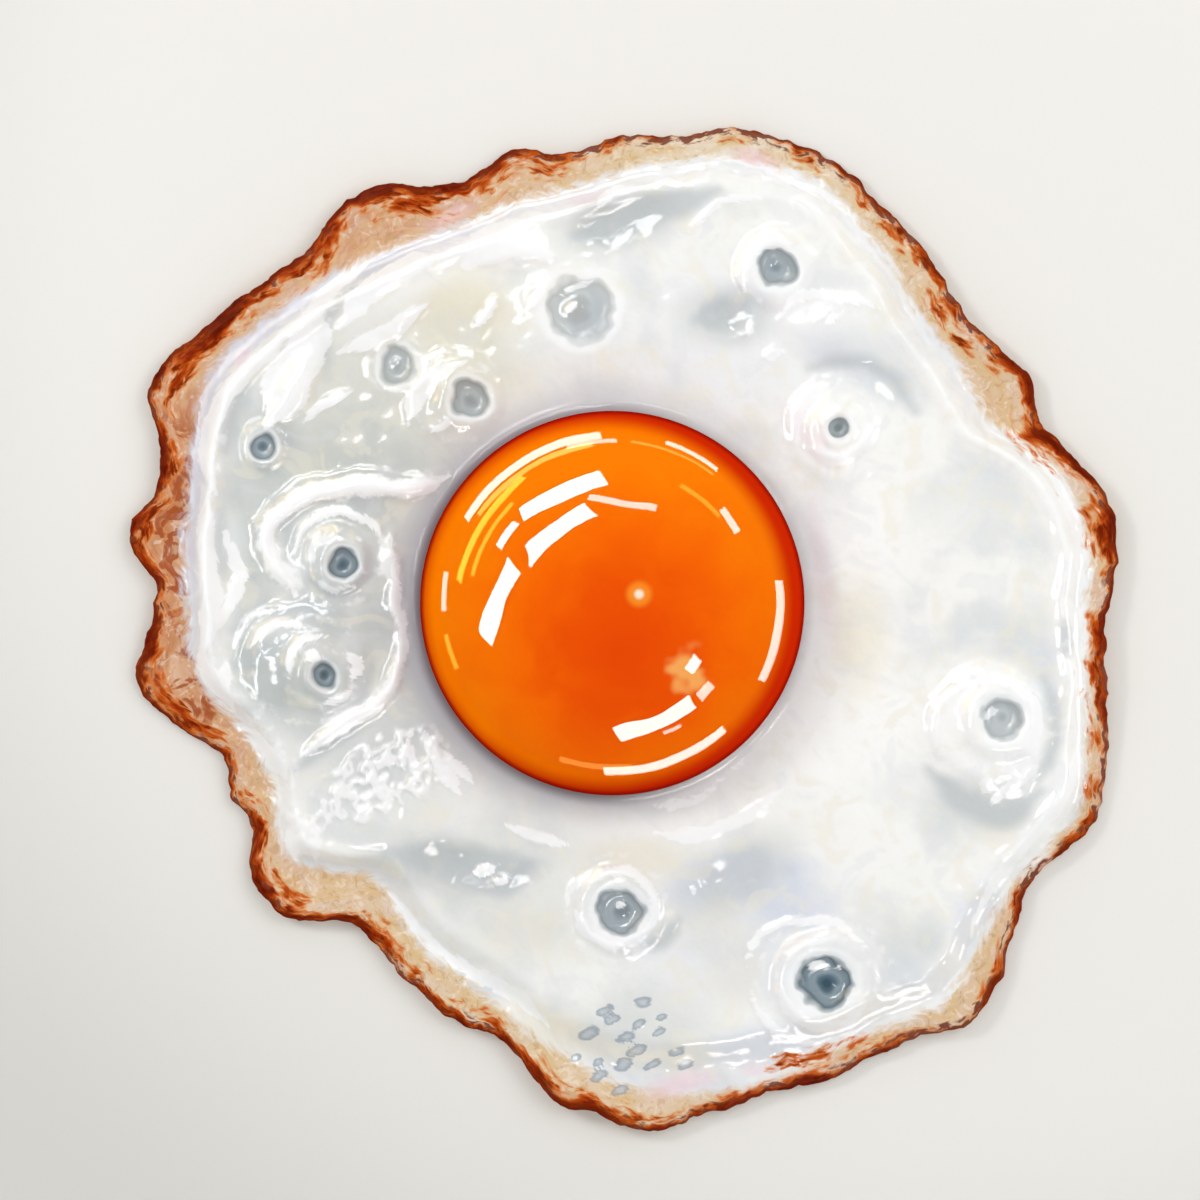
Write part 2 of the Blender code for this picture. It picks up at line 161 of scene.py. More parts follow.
# Strands and sheets of opaque skin, and painted highlights and reflections, that only the looks have, in mm:
# half width, then x and y of each point along the middle
SKIN_AND_HIGHLIGHT_STROKES = (
    (0.95, -19.5, 43.4, -24, 42.2, -28, 40.2, -31, 37.4, -34, 34, -37, 31),
    (1.15, -34, 34.4, -40, 28.5, -43.4, 25, -45.4, 22, -46.4, 19, -46.4, 16, -45.4, 12.6),
    (2.3, -39.6, 20.4, -37.8, 23.4, -36, 27, -34.6, 30.6, -34, 33.6),
    (0.9, -40.2, 24.4, -38.6, 26.6, -37.2, 29),
    (1.5, -20.4, 39.6, -24, 38.4, -28, 35.4, -31.6, 31.4),
    (1, -21.4, 34.2, -24, 32.4, -27.6, 30.2, -31.4, 28.8),
    (0.6, -13.4, 35, -14.4, 33.2, -15.6, 31.8),
    (0.6, -35.6, 20.8, -33.4, 22.6, -30, 24.4),
    (1, -23.4, 20.6, -22.6, 23.2, -20.4, 25.9, -16.8, 27.6),
    (0.6, -21, 19.6, -19.4, 20.6, -18.6, 21.4),
    (1.15, -46.2, 12.8, -46.8, 9, -46.4, 4.6, -45.8, 1.4, -46.4, -2, -47.2, -5.6),
    (0.85, -44.6, 8, -43.4, 4.8, -42.9, 2.6, -44, -0.4, -46.2, -4.4),
    (1, -47.4, -5, -46.6, -7.8, -44.8, -10.6, -43.4, -12.8),
    (0.7, -44.2, -6.2, -44.4, -8.8, -43.8, -11.8),
    (1.3, -44.4, -14.4, -41.2, -16, -39.2, -18, -37.4, -20),
    (0.65, -36.6, 5.8, -35.2, 8.8, -31.6, 10.5, -28.2, 9.6, -26.4, 7.2),
    (0.6, -34.6, 3.8, -34.2, 6.4, -31.6, 7.9),
    (0.4, -34, 2.6, -32.2, 1.5, -30.2, 2),
    (0.55, -41.5, -5, -39.8, -3.2, -37.4, -2.3, -35, -3.2),
    (0.35, -43.6, -6.4, -42.8, -3.4, -41, -1.4, -38, -0.6),
    (0.55, -37, -8.6, -37, -6.2, -35.6, -4.3, -32.6, -3.8),
    (0.75, -35.2, -6.6, -34.2, -6, -33.2, -6.2),
    (0.6, -30.6, -5.6, -29.2, -7, -29.8, -9),
    (0.5, -33, -11.4, -31.2, -10.9, -29.8, -9.9),
    (0.7, -38.2, -24.2, -35.6, -25.2, -33.4, -26.6),
    (0.6, -37.6, -25.8, -36.9, -27.6, -36.6, -29.6),
    (0.6, -35.8, -26.4, -34.6, -28, -34, -30),
    (0.85, -30.6, -31.8, -26.4, -33.6, -22.4, -37.8, -18, -41.4, -13.6, -43.8, -9.6, -46.2, -7.4, -48.6),
    (0.8, -16, 43.6, -13, 45.8, -9, 47.4, -3, 48.4),
    (2.5, -16.6, 38.8, -13.6, 41.2, -10.4, 41.6, -7.4, 39.9),
    (0.6, -1.9, 45.4, -0.4, 47, 2.4, 48),
    (0.45, 8.6, 42.6, 11.2, 45.2, 14, 46.4, 18.4, 46.3),
    (0.5, 4, 47.8, 6, 48.4, 8.6, 48.2),
    (0.4, -5.8, 35.4, -4.4, 36.2, -2.4, 36.9),
    (0.4, -5.4, 33.6, -4.6, 34.1, -3.8, 34.6),
    (0.7, -9.6, 33.8, -8.8, 34.8, -7.6, 36.2),
    (1, 15.4, 35.8, 14.8, 38.4, 16.2, 40.7, 18.6, 41.6, 20.4, 41),
    (0.6, 19.4, 32.8, 20.6, 34.6, 22.8, 35.5, 24.8, 35.1, 28, 35, 31.6, 33.6),
    (0.4, 23.4, 32.4, 24.4, 33.2, 25.4, 34),
    (0.35, 24.8, 31.8, 25.8, 32.8, 26.6, 33.6),
    (0.7, 17.6, 28.2, 18.4, 28.4, 19.4, 28.7),
    (0.35, 15.6, 30.6, 15.9, 31.6, 16.2, 32.6),
    (0.5, 3, 50.6, 8, 51.5, 14, 51, 20, 49.2, 26, 46, 31, 41, 34.4, 36.2),
    (0.7, 40.8, 27.6, 43.6, 22.8, 47.2, 19, 50.6, 15, 53, 10, 54, 5, 54, 0, 53.4, -4),
    (1, 21.2, 18.6, 20.9, 21.6, 22.4, 24, 25.2, 25.2),
    (0.7, 23.8, 20.6, 24.4, 22, 26.2, 22.6),
    (0.75, 22.4, 18, 25.4, 16.5, 28.8, 17.8, 30.8, 21),
    (0.6, 30, 25.2, 31.2, 24.2, 32.2, 23.2),
    (0.7, 37.8, -17.4, 36.7, -14.2, 37.5, -11.2, 40.4, -9.2),
    (0.65, 40.6, -9.6, 44.4, -8.7, 47.6, -10.4, 48.8, -13.4, 47.8, -16.4, 45.6, -17.8),
    (0.5, 42.4, -13.6, 43, -12.8, 44.4, -12.3),
    (0.9, 52.3, -6.6, 53.2, -8.4, 53.8, -10.8),
    (0.7, 46.6, -20.6, 47.8, -19.6, 48.8, -18.6),
    (0.5, 43.4, -23.4, 44.4, -22, 45.4, -20.8),
    (0.8, 53.2, -14, 53.4, -18, 51.4, -23, 47, -28.6, 43.4, -33, 41.4, -38.2),
    (0.6, -5.5, -35, -4.2, -32.2, -1, -30.8, 2.6, -31, 4.6, -33.2, 4.8, -36, 3.2, -38.6),
    (0.7, -4.2, -35.4, -3.2, -37.6, -1, -39, 1.6, -39.2),
    (0.4, 0.4, -35, 1, -34.6, 1.4, -34.5),
    (0.6, -12.2, -25.6, -8.4, -27, -5, -27.7),
    (0.75, -15.6, -30.9, -14.6, -30.6, -13.4, -30),
    (0.6, -13.6, -31.8, -12.8, -31.8, -12, -31.6),
    (0.6, 15.4, -41.6, 17, -38.2, 21, -36.5, 26, -36.9, 29.4, -40),
    (0.6, 16, -44.6, 17.4, -47.6, 20.4, -50, 24.6, -51),
    (0.75, 19.4, -43.6, 20.2, -46.4, 23, -48.4, 27, -48.4, 29.2, -45.8),
    (0.5, 20, -41.2, 21.8, -39, 25.8, -38.4),
    (0.4, 22.8, -41.9, 23.8, -41.5, 25, -41.6),
    (0.4, 25.8, -41.4, 26.1, -41.6, 26.3, -41.8),
    (0.9, 5, -26.4, 10, -26.4, 15, -24.8, 19.6, -21.4),
    (0.85, -18.6, 14.8, -20.4, 13.8, -23, 13, -29, 13.4, -36, 12, -39.6, 8.4, -38.8, 4.6, -36.2, 0.8),
    (0.6, -25.2, 8, -24.8, 1.5, -24.2, -5.4, -26.2, -10.6, -30.4, -13.6, -36.6, -18.2),
    (0.5, 4.8, -23.3, 7.4, -23.1, 10, -22.2, 12.8, -20.2),
    (0.3, 13.6, -19.3, 14.7, -18.4, 15.8, -17.3),
    (0.9, -21.8, -14.4, -20.6, -16.8, -19, -19.6, -17.4, -22),
    (0.5, -23.4, -15.6, -22.8, -18, -21.8, -20.6),
    (0.7, -19.6, -17, -17.8, -18.7, -15.8, -20.7),
)
STROKE_HEIGHT = 0.2 * MM
# Part of a stroke's length that each end tapers over, and the width left at its tip
STROKE_TAPER = 0.25
STROKE_TIP = 0.3
# Where a stroke's side begins and ends, and the furthest distance that is told apart, in mm from its edge
STROKE_SIDE = (-0.5, 0.4)
FAR = 3.0

# Painted shade: soft grey beside the folds and blisters, in the same terms
SHADES = (
    (0.6, -24, 40.2, -28, 38.2, -31, 35, -33, 32.2, -32.9, 28, -32.6, 26),
    (0.5, -37.2, 5.4, -37.2, 8.6, -35.6, 11, -33.4, 11.9, -29, 11.4),
    (0.7, -28.6, 7.2, -28, 4.6, -29.4, 2.2, -32, 1, -34.8, 2.6),
    (0.8, -43.4, -3, -41.4, -1.4, -38, -0.8, -34, -0.4, -31, -3),
    (0.8, -43.4, -7, -40, -5.6, -37.2, -4),
    (0.5, -34.6, -9.2, -33, -10.8, -29.2, -11, -27.8, -7.6),
    (0.7, -28.6, -13.8, -33, -16.6, -36.2, -19.4),
    (0.9, -41.8, 24.6, -43.4, 21.6, -44.4, 17.6),
    (0.5, -45, 10.6, -44.8, 6, -44.4, 3),
    (1.6, -4, 42.4, 1, 43.2, 6, 45.6, 12, 47.2),
    (1.4, 9.6, 32.4, 12, 33, 15, 34.2),
    (0.8, 22.4, 27, 28, 27.8, 32, 25.6, 34.6, 22),
    (0.8, 49.6, -8.8, 50.8, -13, 50.4, -17, 48.6, -20.4),
    (1.3, 36.4, -19, 40, -22.4, 45, -24.6, 49, -21.6),
    (0.7, 52, -2, 52.2, -5.6),
    (0.9, 3.6, -39.4, 6, -38.4, 7.6, -36.4),
    (1.6, -26, -28.4, -20, -29.6, -13, -32, -9.6, -30),
)

# Rings of thin skin round the burst blisters, in mm: middle (x, y), radius, height, half width
SKIN_RINGS = (
    (18.8, 38.5, 4.2, 0.3, 0.75), (-24.7, 27.3, 3.2, 0.15, 0.6), (-18, 23.6, 5, 0.2, 0.75),
    (-39.9, 18, 2.3, 0.2, 0.6), (-31.4, 5, 3.2, 0.3, 0.75), (-31.5, 5.2, 5.2, 0.2, 0.75),
    (-33.6, -8.2, 3.6, 0.3, 0.75), (-34.8, -7.6, 6.2, 0.2, 0.9), (26.2, 20.1, 3.3, 0.3, 0.75),
    (26.4, 20, 5.8, 0.2, 0.75), (43.8, -13.8, 6.2, 0.25, 0.9), (0.8, -35.2, 4.4, 0.3, 0.75),
    (0.6, -35, 6, 0.15, 0.75), (24.6, -43.3, 5.2, 0.3, 0.75), (24.3, -43.2, 7.6, 0.2, 0.9),
)

# Patches of fine wrinkles, in mm: middle (x, y), half lengths (a, b), tilt in degrees
WRINKLED = ((-26.2, -20, 11.5, 5.6, 28), (-37, -26.8, 4.4, 3.8, 0), (44.6, -21.4, 3.4, 2.2, 10))
WRINKLE_HEIGHT = 0.38 * MM
WRINKLE_GRAIN = 1.8 * MM
WRINKLE_SHARPNESS = 2.4
WRINKLE_FADE = 0.55

# Small closed pores, in mm: middle (x, y), half length. They lie slanting, about half as wide as long
PORES = (
    (3.5, -45.8, 1.3), (-0.9, -46.7, 1), (-0.1, -47.8, 0.9), (-2.8, -49.3, 1.3), (2.9, -48.4, 0.9),
    (1.4, -49.9, 1.2), (5.4, -49.3, 0.8), (2.8, -51.4, 1.2), (5.6, -47.7, 0.8), (1.3, -53.1, 1.2),
    (4.8, -53.1, 1), (8.5, -53.1, 1.1), (7.4, -51.5, 1), (-4.3, -52.3, 0.9), (-1.5, -54.3, 1.1),
    (0.9, -56.1, 1.1), (-1.6, -52.8, 0.7),
)
PORE_TILT = 25
PORE_WIDTH = 0.55
PORE_DEPTH = 0.22 * MM
PORE_SIDE = (0.4, 1.1)

# Tiny bubbles, in mm: middle (x, y), radius
TINY_BUBBLES = (
    (33.7, -43.4, 0.8), (32.6, -45.6, 0.6), (36.6, -44.5, 0.5), (40, -33, 0.7), (41.8, -34.2, 0.6),
    (38.8, -34.6, 0.4), (18.6, 28.8, 0.6), (-14.6, -30.6, 0.7), (-13.2, -31.8, 0.6), (1.2, -39.6, 0.6),
)
TINY_HEIGHT = 0.3 * MM

# Fine unevenness of the skin and of the crust
SKIN_WOBBLE = 0.1 * MM
SKIN_GRAIN = 2.6 * MM
FINE_WOBBLE = 0.03 * MM
FINE_GRAIN = 0.9 * MM
WANDER = 0.35 * MM
WANDER_OVER = 3.4 * MM
FILM_DOME = 0.14
FILM_DOME_WIDTH = 0.6
LUMP_HEIGHT = 0.2 * MM
LUMP_GRAIN = 1.9 * MM
NIBBLE_REACH = 0.3 * MM
NIBBLE_GRAIN = 1.3 * MM

# The white climbs a little up the side of the yolk
CONTACT_HEIGHT = 5.4 * MM
CONTACT_GAP = 0.03 * MM
CLIMB_WIDTH = 1.3 * MM

# How far the dark crust reaches in from the rim: bearing in degrees, depth in mm
CRUST = (
    (0, 1.2), (10, 1.8), (18, 2.2), (25, 1.5), (30, 1.1), (38, 1.7), (45, 0.8), (55, 0.8), (65, 0.6),
    (75, 0.1), (85, 0.1), (92, 0.3), (97, 0.8), (101, 1.8), (106, 1.8), (115, 3), (125, 1.7), (140, 2),
    (150, 2.4), (158, 1.8), (165, 1.9), (170, 1.6), (180, 0.9), (185, 1.4), (192, 2), (200, 1.2),
    (210, 0.8), (218, 2), (227, 1.7), (235, 1.1), (245, 1.1), (255, 0.9), (265, 1.4), (275, 1), (285, 0.8),
    (292, 2.5), (298, 1.3), (305, 0), (315, 0.2), (325, 0.6), (335, 0.2), (345, 0.7), (355, 1.5),
)

# How strongly the fringe is toasted, from pale straw at 0 to orange-brown at 1: bearing in degrees, share
TOAST = (
    (0, 0.5), (45, 0.35), (80, 0.1), (108, 0.6), (120, 0.75), (150, 0.75), (160, 1), (195, 1), (203, 0.7),
    (215, 0.5), (230, 0.3), (260, 0.2), (290, 0.35), (320, 0.4), (340, 0.5),
)

# How far the white colour runs out over the fringe: bearing in degrees, mm
WHITE_REACH = (
    (0, 0.6), (20, 0.9), (45, 0.9), (75, 0.9), (100, 0.5), (125, 1), (140, 1), (170, 0.5), (200, 0.3),
    (235, 0.8), (262, 1.6), (285, 2.2), (300, 1.2), (320, 0.8), (340, 0.6),
)

# Where the white is tinted, in mm: middle (x, y), half lengths (a, b), tilt in degrees, strength.
# A tint begins to fade at the first of these shares of its half lengths and is gone at the second
TINT_FADE = (0.3, 1.3)
# Grey areas are partly thinner white and partly painted shade, most of it on the left and near the yolk
GREY_AND_PAINTED_SHADE_AREAS = (
    (-34, 10, 15, 26, -12, 0.6), (-22, 27, 14, 9, 30, 0.25), (1, 44, 9, 4, 15, 0.9), (13, 33, 6, 4, 0, 0.7),
    (-40.5, 16, 5, 9, 0, 0.7), (-41, 0, 3, 10, 0, 0.5), (-20, -30, 12, 4, -8, 0.6),
    (-40, -8, 4, 6, 20, 0.6), (43, -23.5, 7, 4, 0, 0.6), (15, -31, 8, 4, 35, 0.6), (4, -50, 9, 7, 0, 0.45),
    (29, 29, 7, 5, -20, 0.3), (-18, 18, 6, 4, 30, 0.3), (32, -41, 8, 5, 0, 0.3),
    (-27, -11, 13, 15, 0, 0.75), (-25, 12, 12, 12, 0, 0.4), (-12, -32, 16, 12, 0, 0.3),
    (-8, 28, 14, 9, 0, 0.2),
)
CREAM_AREAS = (
    (-26, 20, 16, 15, 0, 0.65), (-17, 33, 7, 5.5, 20, 1), (-32, 15.5, 5, 3, 0, 0.6),
    (-15, 26, 8, 4, 0, 0.5), (3, -29.5, 8, 3, 0, 0.6), (10, -34.5, 5, 5, 0, 0.6), (28.5, -4, 4, 8, 0, 0.6),
    (-37, -9, 4, 4.5, 30, 0.7), (-10, -38, 6, 4, 0, 0.5), (-7, -49, 8, 3, -20, 0.6),
    (14, -41, 4, 6, 0, 0.5),
)
BLUE_AREAS = (
    (14, -37, 15, 10, 0, 0.45), (13, 30, 16, 12, 0, 0.25), (16, -31, 8, 3, 0, 0.9), (21, -35, 6, 3, 0, 0.6),
    (9, -33, 3, 3, 0, 0.5), (17, -51, 9, 3, 10, 0.6), (41.5, -36, 2.6, 5, -25, 0.6),
    (28, 27, 8, 3, -25, 0.5), (14.6, 34.4, 4, 2, 0, 0.5), (33, -42.6, 3.6, 2.6, 0, 0.6),
    (-34, -1.6, 5, 1.6, -10, 0.7), (50, -8, 2.6, 5, 0, 0.5),
)
# Painted light: the white made lighter right of the yolk, the lower area where the yolk's shadow falls
PAINTED_LIGHT_AREAS = ((26.5, -12, 10, 15, 20, 0.8), (27, 8, 8, 12, 0, 0.5))
PINK_AREAS = (
    (-18.6, 44.6, 3.6, 1, 25, 0.8), (-3, 46.6, 2.6, 1.2, 10, 0.5), (16.6, 51.2, 3.2, 1.1, -18, 0.9),
    (8, -55.3, 4.6, 1.5, 14, 0.9), (16.4, -53.6, 2.2, 0.9, 0, 0.6), (-42.6, 28.4, 1.4, 0.8, 45, 0.7),
    (24, 4, 1.2, 10, 8, 0.35), (22, 20, 2, 4, 40, 0.3),
)

# How lilac the white is between its lip and the fringe, and how strong the painted shadow round the yolk is:
# bearing, share
LILAC_BAND = (
    (0, 0.05), (30, 0.3), (60, 0.35), (95, 0.4), (120, 0.8), (165, 1), (190, 0.5), (205, 0.1), (225, 0.2),
    (250, 0.3), (262, 0.2), (275, 0.4), (290, 0.3), (320, 0.1),
)
YOLK_SHADE = (
    (0, 0.35), (60, 0.4), (100, 0.7), (150, 1), (200, 1), (240, 0.9), (275, 0.7), (310, 0.3), (335, 0.4),
)

# How white folds and wrinkles make the skin is 1, partly as thicker skin and partly as a painted highlight on
# the crests.
# Lips, a little wider than in the shapes, and rings do less
LIP_SHARE = 0.4
LIP_SPREAD = 1.2
RING_SHARE = 0.3

# Places in an oval are told apart up to this many of its half lengths
OVAL_REACH = 4

# Marks on the crust run along the rim: how much longer than wide, and the rim's mean reach
RIM_STRETCH = 2.4
MEAN_REACH = 55 * MM

# How finely the meshes are drawn
SECTORS = 800
POCKET_ROWS = 7
FIRST_POCKET_ROW = 0.01
BODY_ROWS = 66
EDGE_ROWS = 27
EDGE_BAND = 4.6 * MM
EDGE_EASE = 0.12
SIDE_ROWS = 3
SIDE_BULGE = 0.2 * MM
UNDER_INSETS = np.array((0.2, 0.6, 1.1, 1.8, 2.6, 3.6, 4.8, 6.5)) * MM
UNDER_SHARES = (0.75, 0.5, 0.25)
YOLK_SECTORS = 192
YOLK_ROWS = 64

# The pale spot on the yolk, its darker middle, set low so that it is partly painted shade, and a painted
# glow: places on the plan, and sizes
SPOT_AT = (3.0 * MM, 1.0 * MM)
SPOT_RADIUS = 1.7 * MM
SPOT_RISE = 0.1 * MM
YOLK_MIDDLE = (1.5 * MM, -5 * MM)
GLOW_AT = (8.4 * MM, -7.6 * MM)
GLOW_RADIUS = 3.4 * MM
RED_MIDDLE = (-0.9 * MM, -0.1 * MM)
YOLK_WOBBLE = 0.055 * MM
YOLK_GRAIN = 7 * MM
# The unevenness sets in between these shares of the way up from the equator to the top
WOBBLE_RISE = (0.1, 0.6)

# Painted shade: the floor's colour is a little darker between two distances from this place and beyond
FLOOR_SIZE = 6
FLOOR_BRIGHTEST = (40 * MM, 40 * MM)
DIMMER_FROM = 95 * MM
DIMMER_TO = 150 * MM

# How the wet skin of both pieces bends light
WET_IOR = 1.36

# Camera: straight down on the egg, a little left of the yolk's middle
VIEW_AT = (-1.4 * MM, 0.35 * MM)
VIEW_WIDTH = 138 * MM
VIEW_PLANE = 3 * MM
CAMERA_HEIGHT = 0.7
SENSOR = 36
NEAREST_SEEN = 0.01

# Lights stand on a half globe round the yolk. Bearings and tilts from the vertical are in degrees
GLOBE_RADIUS = 0.5
GLOBE_MIDDLE = Vector((0, 0, 12 * MM))

# Panes that show only as reflections: bearing, half span, nearest and furthest tilt, roll, radiance, colour
WHITE = (1, 1, 1)
ROSE = (1, 0.94, 0.92)
YELLOW = (1, 0.6, 0.07)
AMBER = (1, 0.66, 0.16)
PANES = (
    (115, 24, 35.5, 45, 0, 50, WHITE),
    (148, 6, 39, 44, 0, 42, WHITE),
    (127, 27, 22, 29, 0, 42, WHITE),
    (84, 19, 29, 32, -8, 26, WHITE),
    (179, 24, 32.5, 40.5, -34, 50, WHITE),
    (122, 32, 75, 87, 0, 30, ROSE),
    (97, 9, 71, 76, 0, 22, ROSE),
    (148, 25, 59, 65, 0, 34, YELLOW),
    (152, 17, 51, 54, 0, 24, YELLOW),
    (122, 27, 66, 72, 0, 24, AMBER),
    (197, 6, 80, 87, 0, 18, YELLOW),
    (176, 7, 78, 86, 0, 22, ROSE),
    (62, 10, 80, 87, 0, 26, ROSE),
    (68, 16, 72, 75, 0, 12, AMBER),
    (35, 7, 52, 58, 0, 28, WHITE),
    (49, 9, 48, 51, 0, 16, YELLOW),
    (-10, 19, 75, 88, 0, 26, ROSE),
    (-69, 19, 39, 48, 8, 42, ROSE),
    (-43, 4, 41, 47, 0, 28, ROSE),
    (-65, 5, 51, 54, 0, 24, ROSE),
    (-37, 4, 27.5, 32.5, 0, 40, WHITE),
    (-70, 24, 75, 88, 0, 30, ROSE),
    (-96, 14, 72, 79, 0, 9, AMBER),
)

# Lights that give no reflection: bearing, half span, nearest and furthest tilt, light on the floor
KEY = (152, 8, 46, 56, 0.15)
ROOM = (22, 30, 26, 60, 0.22)
SKY = 0.68
SKY_IN_REFLECTIONS = 0.06
SKY_COLOUR = (0.97, 0.985, 1.0, 1.0)


def srgb(red, green, blue):
    """A colour given as it looks on a screen, from 0 to 255, as the linear colour that shaders use."""
    shares = np.array((red, green, blue)) / 255
    linear = np.where(shares > 0.04045, ((shares + 0.055) / 1.055) ** 2.4, shares / 12.92)
    return (*map(float, linear), 1.0)


def smooth_step(low, high, value):
    share = np.clip((value - low) / (high - low), 0, 1)
    return share * share * (3 - 2 * share)


def bump(distance, width):
    return np.exp(-((distance / width) ** 2))


def through(knots_at, knots, at):
    """Value at each place on a smooth curve through the knots."""
    slope = np.gradient(knots, knots_at)
    left = np.clip(np.searchsorted(knots_at, at, side="right") - 1, 0, len(knots_at) - 2)
    span = knots_at[left + 1] - knots_at[left]
    t = (at - knots_at[left]) / span
    start = knots[left] * (1 + 2 * t) * (1 - t) ** 2 + slope[left] * span * t * (1 - t) ** 2
    end = knots[left + 1] * t**2 * (3 - 2 * t) + slope[left + 1] * span * t**2 * (t - 1)
    return start + end


def round_rim(table, bearing):
    """Value at each bearing in degrees, from a table that goes once round."""
    at, value = np.array(table, float).T
    at = np.concatenate([at[-2:] - 360, at, at[:2] + 360])
    value = np.concatenate([value[-2:], value, value[:2]])
    return through(at, value, bearing)


def noise_at(x, y, grain, layer):
    """Smooth noise from about -1 to 1, with features about a grain across. Each layer has its own pattern."""
    points = (Vector((px / grain, py / grain, layer)) for px, py in zip(x.ravel(), y.ravel()))
    values = [noise.fractal(p, *OCTAVES, noise_basis="PERLIN_ORIGINAL") for p in points]
    return np.array(values).reshape(x.shape)


def lift_at(bearing):
    angle = np.radians(bearing)
    return LIFT + sum(lift * np.sin(count * angle + phase) for lift, count, phase in LIFT_WAVES)


def underside(bearing, inset):
    return lift_at(bearing) * (1 - smooth_step(0, CURL_WIDTH, inset))


def dome(out, power=1.0):
    """Height of a dome: 1 in its middle, 0 from a distance of 1, and softer at its foot by the power."""
    return np.clip(1 - out**2, 0, None) ** power


def bubble_relief(x, y, bubble):
    pit_x, pit_y, pit_radius, pit_depth, x0, y0, radius, height = np.array(bubble) * MM
    out = np.hypot(x - x0, y - y0) / radius
    swelling = height * dome(out, SOFT_FOOT)
    from_pit = np.hypot(x - pit_x, y - pit_y) / pit_radius
    collar = COLLAR_SHARE * height * bump(from_pit - COLLAR_AT, COLLAR_WIDTH)
    pit = -pit_depth * (1 - smooth_step(PIT_FLOOR, PIT_BRIM, from_pit))
    return swelling + collar + pit


def oval_place(x, y, oval):
    """Place along and across an oval, each 1 at its edge. An oval starts with x, y, half lengths and tilt."""
    x0, y0, half_a, half_b, tilt = oval[:5]
    turn = math.radians(tilt)
    along = ((x - x0 * MM) * math.cos(turn) + (y - y0 * MM) * math.sin(turn)) / (half_a * MM)
    across = ((y - y0 * MM) * math.cos(turn) - (x - x0 * MM) * math.sin(turn)) / (half_b * MM)
    return along, across


def ellipse_at(x, y, area):
    """Distance from an area's middle, where 1 is its edge."""
    return np.hypot(*oval_place(x, y, area))


def swelling_relief(x, y, swelling):
    return swelling[5] * MM * dome(ellipse_at(x, y, swelling), SOFT_FOOT)


def smooth_line(points):
    """Points close together on a smooth line through points in mm, as xs and ys in metres."""
    xs, ys = np.array(points, float).reshape(-1, 2).T
    knots_at = np.arange(len(xs), dtype=float)
    at = np.linspace(0, len(xs) - 1, (len(xs) - 1) * LINE_STEPS + 1)
    return through(knots_at, xs, at) * MM, through(knots_at, ys, at) * MM


def nearest_on_line(x, y, xs, ys):
    """Distance from each point to a line of short pieces, and how far along the line the nearest place is."""
    least, along = np.full(x.shape, np.inf), np.zeros(x.shape)
    for i in range(len(xs) - 1):
        way_x, way_y = xs[i + 1] - xs[i], ys[i + 1] - ys[i]
        share = ((x - xs[i]) * way_x + (y - ys[i]) * way_y) / (way_x**2 + way_y**2)
        share = np.clip(share, 0, 1)
        distance = np.hypot(x - xs[i] - share * way_x, y - ys[i] - share * way_y)
        along = np.where(distance < least, (i + share) / (len(xs) - 1), along)
        least = np.minimum(least, distance)
    return least, along


def fold_share(x, y, fold):
    """How far up a fold a point is, from 0 to 1."""
    distance, along = nearest_on_line(x, y, *smooth_line(fold[0]))
    ends = smooth_step(0, FOLD_FADE, along) * smooth_step(0, FOLD_FADE, 1 - along)
    return ends * bump(distance, fold[2] * MM)


def beyond_strokes(x, y, strokes):
    """Distance in mm beyond the edge of the nearest stroke: less than 0 inside one, never more than FAR."""
    least = np.full(x.shape, FAR)
    for half_width, *middle in strokes:
        xs, ys = smooth_line(middle)
        reach = (half_width + FAR) * MM
        near = (x > xs.min() - reach) & (x < xs.max() + reach)
        near &= (y > ys.min() - reach) & (y < ys.max() + reach)
        distance, along = nearest_on_line(x[near], y[near], xs, ys)
        ends = smooth_step(0, STROKE_TAPER, along) * smooth_step(0, STROKE_TAPER, 1 - along)
        width = half_width * (STROKE_TIP + (1 - STROKE_TIP) * ends)
        least[near] = np.minimum(least[near], distance / MM - width)
    return least


def ring_share(x, y, ring):
    x0, y0, radius, _, half_width = np.array(ring) * MM
    return bump(np.hypot(x - x0, y - y0) - radius, half_width)


def calm_height(radius):
    """Height of the white round the yolk, where it has no relief."""
    return BODY_HEIGHT + SHOULDER_RISE * bump(radius - SHOULDER_AT, SHOULDER_WIDTH)


def pocket_radius(height):
    """Radius of the hollow that the yolk sits in, at a height."""
    depth = (YOLK_EQUATOR - CONTACT_GAP - height) / (YOLK_EQUATOR - YOLK_SEAT)
    return (YOLK_RADIUS + CONTACT_GAP) * np.clip(1 - depth**YOLK_SQUARENESS, 0, None) ** (1 / YOLK_SQUARENESS)


class Plan:
    """The white's plan: bearings all round, the rim, and the edge of the thick white at each bearing."""

    def __init__(self):
        self.bearing = np.arange(SECTORS) * 360 / SECTORS
        self.angle = np.radians(self.bearing)
        rim = round_rim(RIM, self.bearing) * MM
        rim = rim + CRAG_REACH * self.noise_along(rim, CRAG_GRAIN, 7.3)
        self.rim = rim + NIBBLE_REACH * self.noise_along(rim, NIBBLE_GRAIN, 11.2)
        edge = round_rim(BODY_EDGE, self.bearing) * MM
        self.body_edge = edge + EDGE_WANDER * self.noise_along(edge, WANDER_GRAIN, 2.9)

    def noise_along(self, radius, grain, layer):
        return noise_at(radius * np.cos(self.angle), radius * np.sin(self.angle), grain, layer)

    def row(self, radius, height):
        """A closed row of points with its own radius and height at each bearing."""
        radius = np.broadcast_to(radius, SECTORS)
        height = np.broadcast_to(height, SECTORS)
        return np.column_stack([radius * np.cos(self.angle), radius * np.sin(self.angle), height])


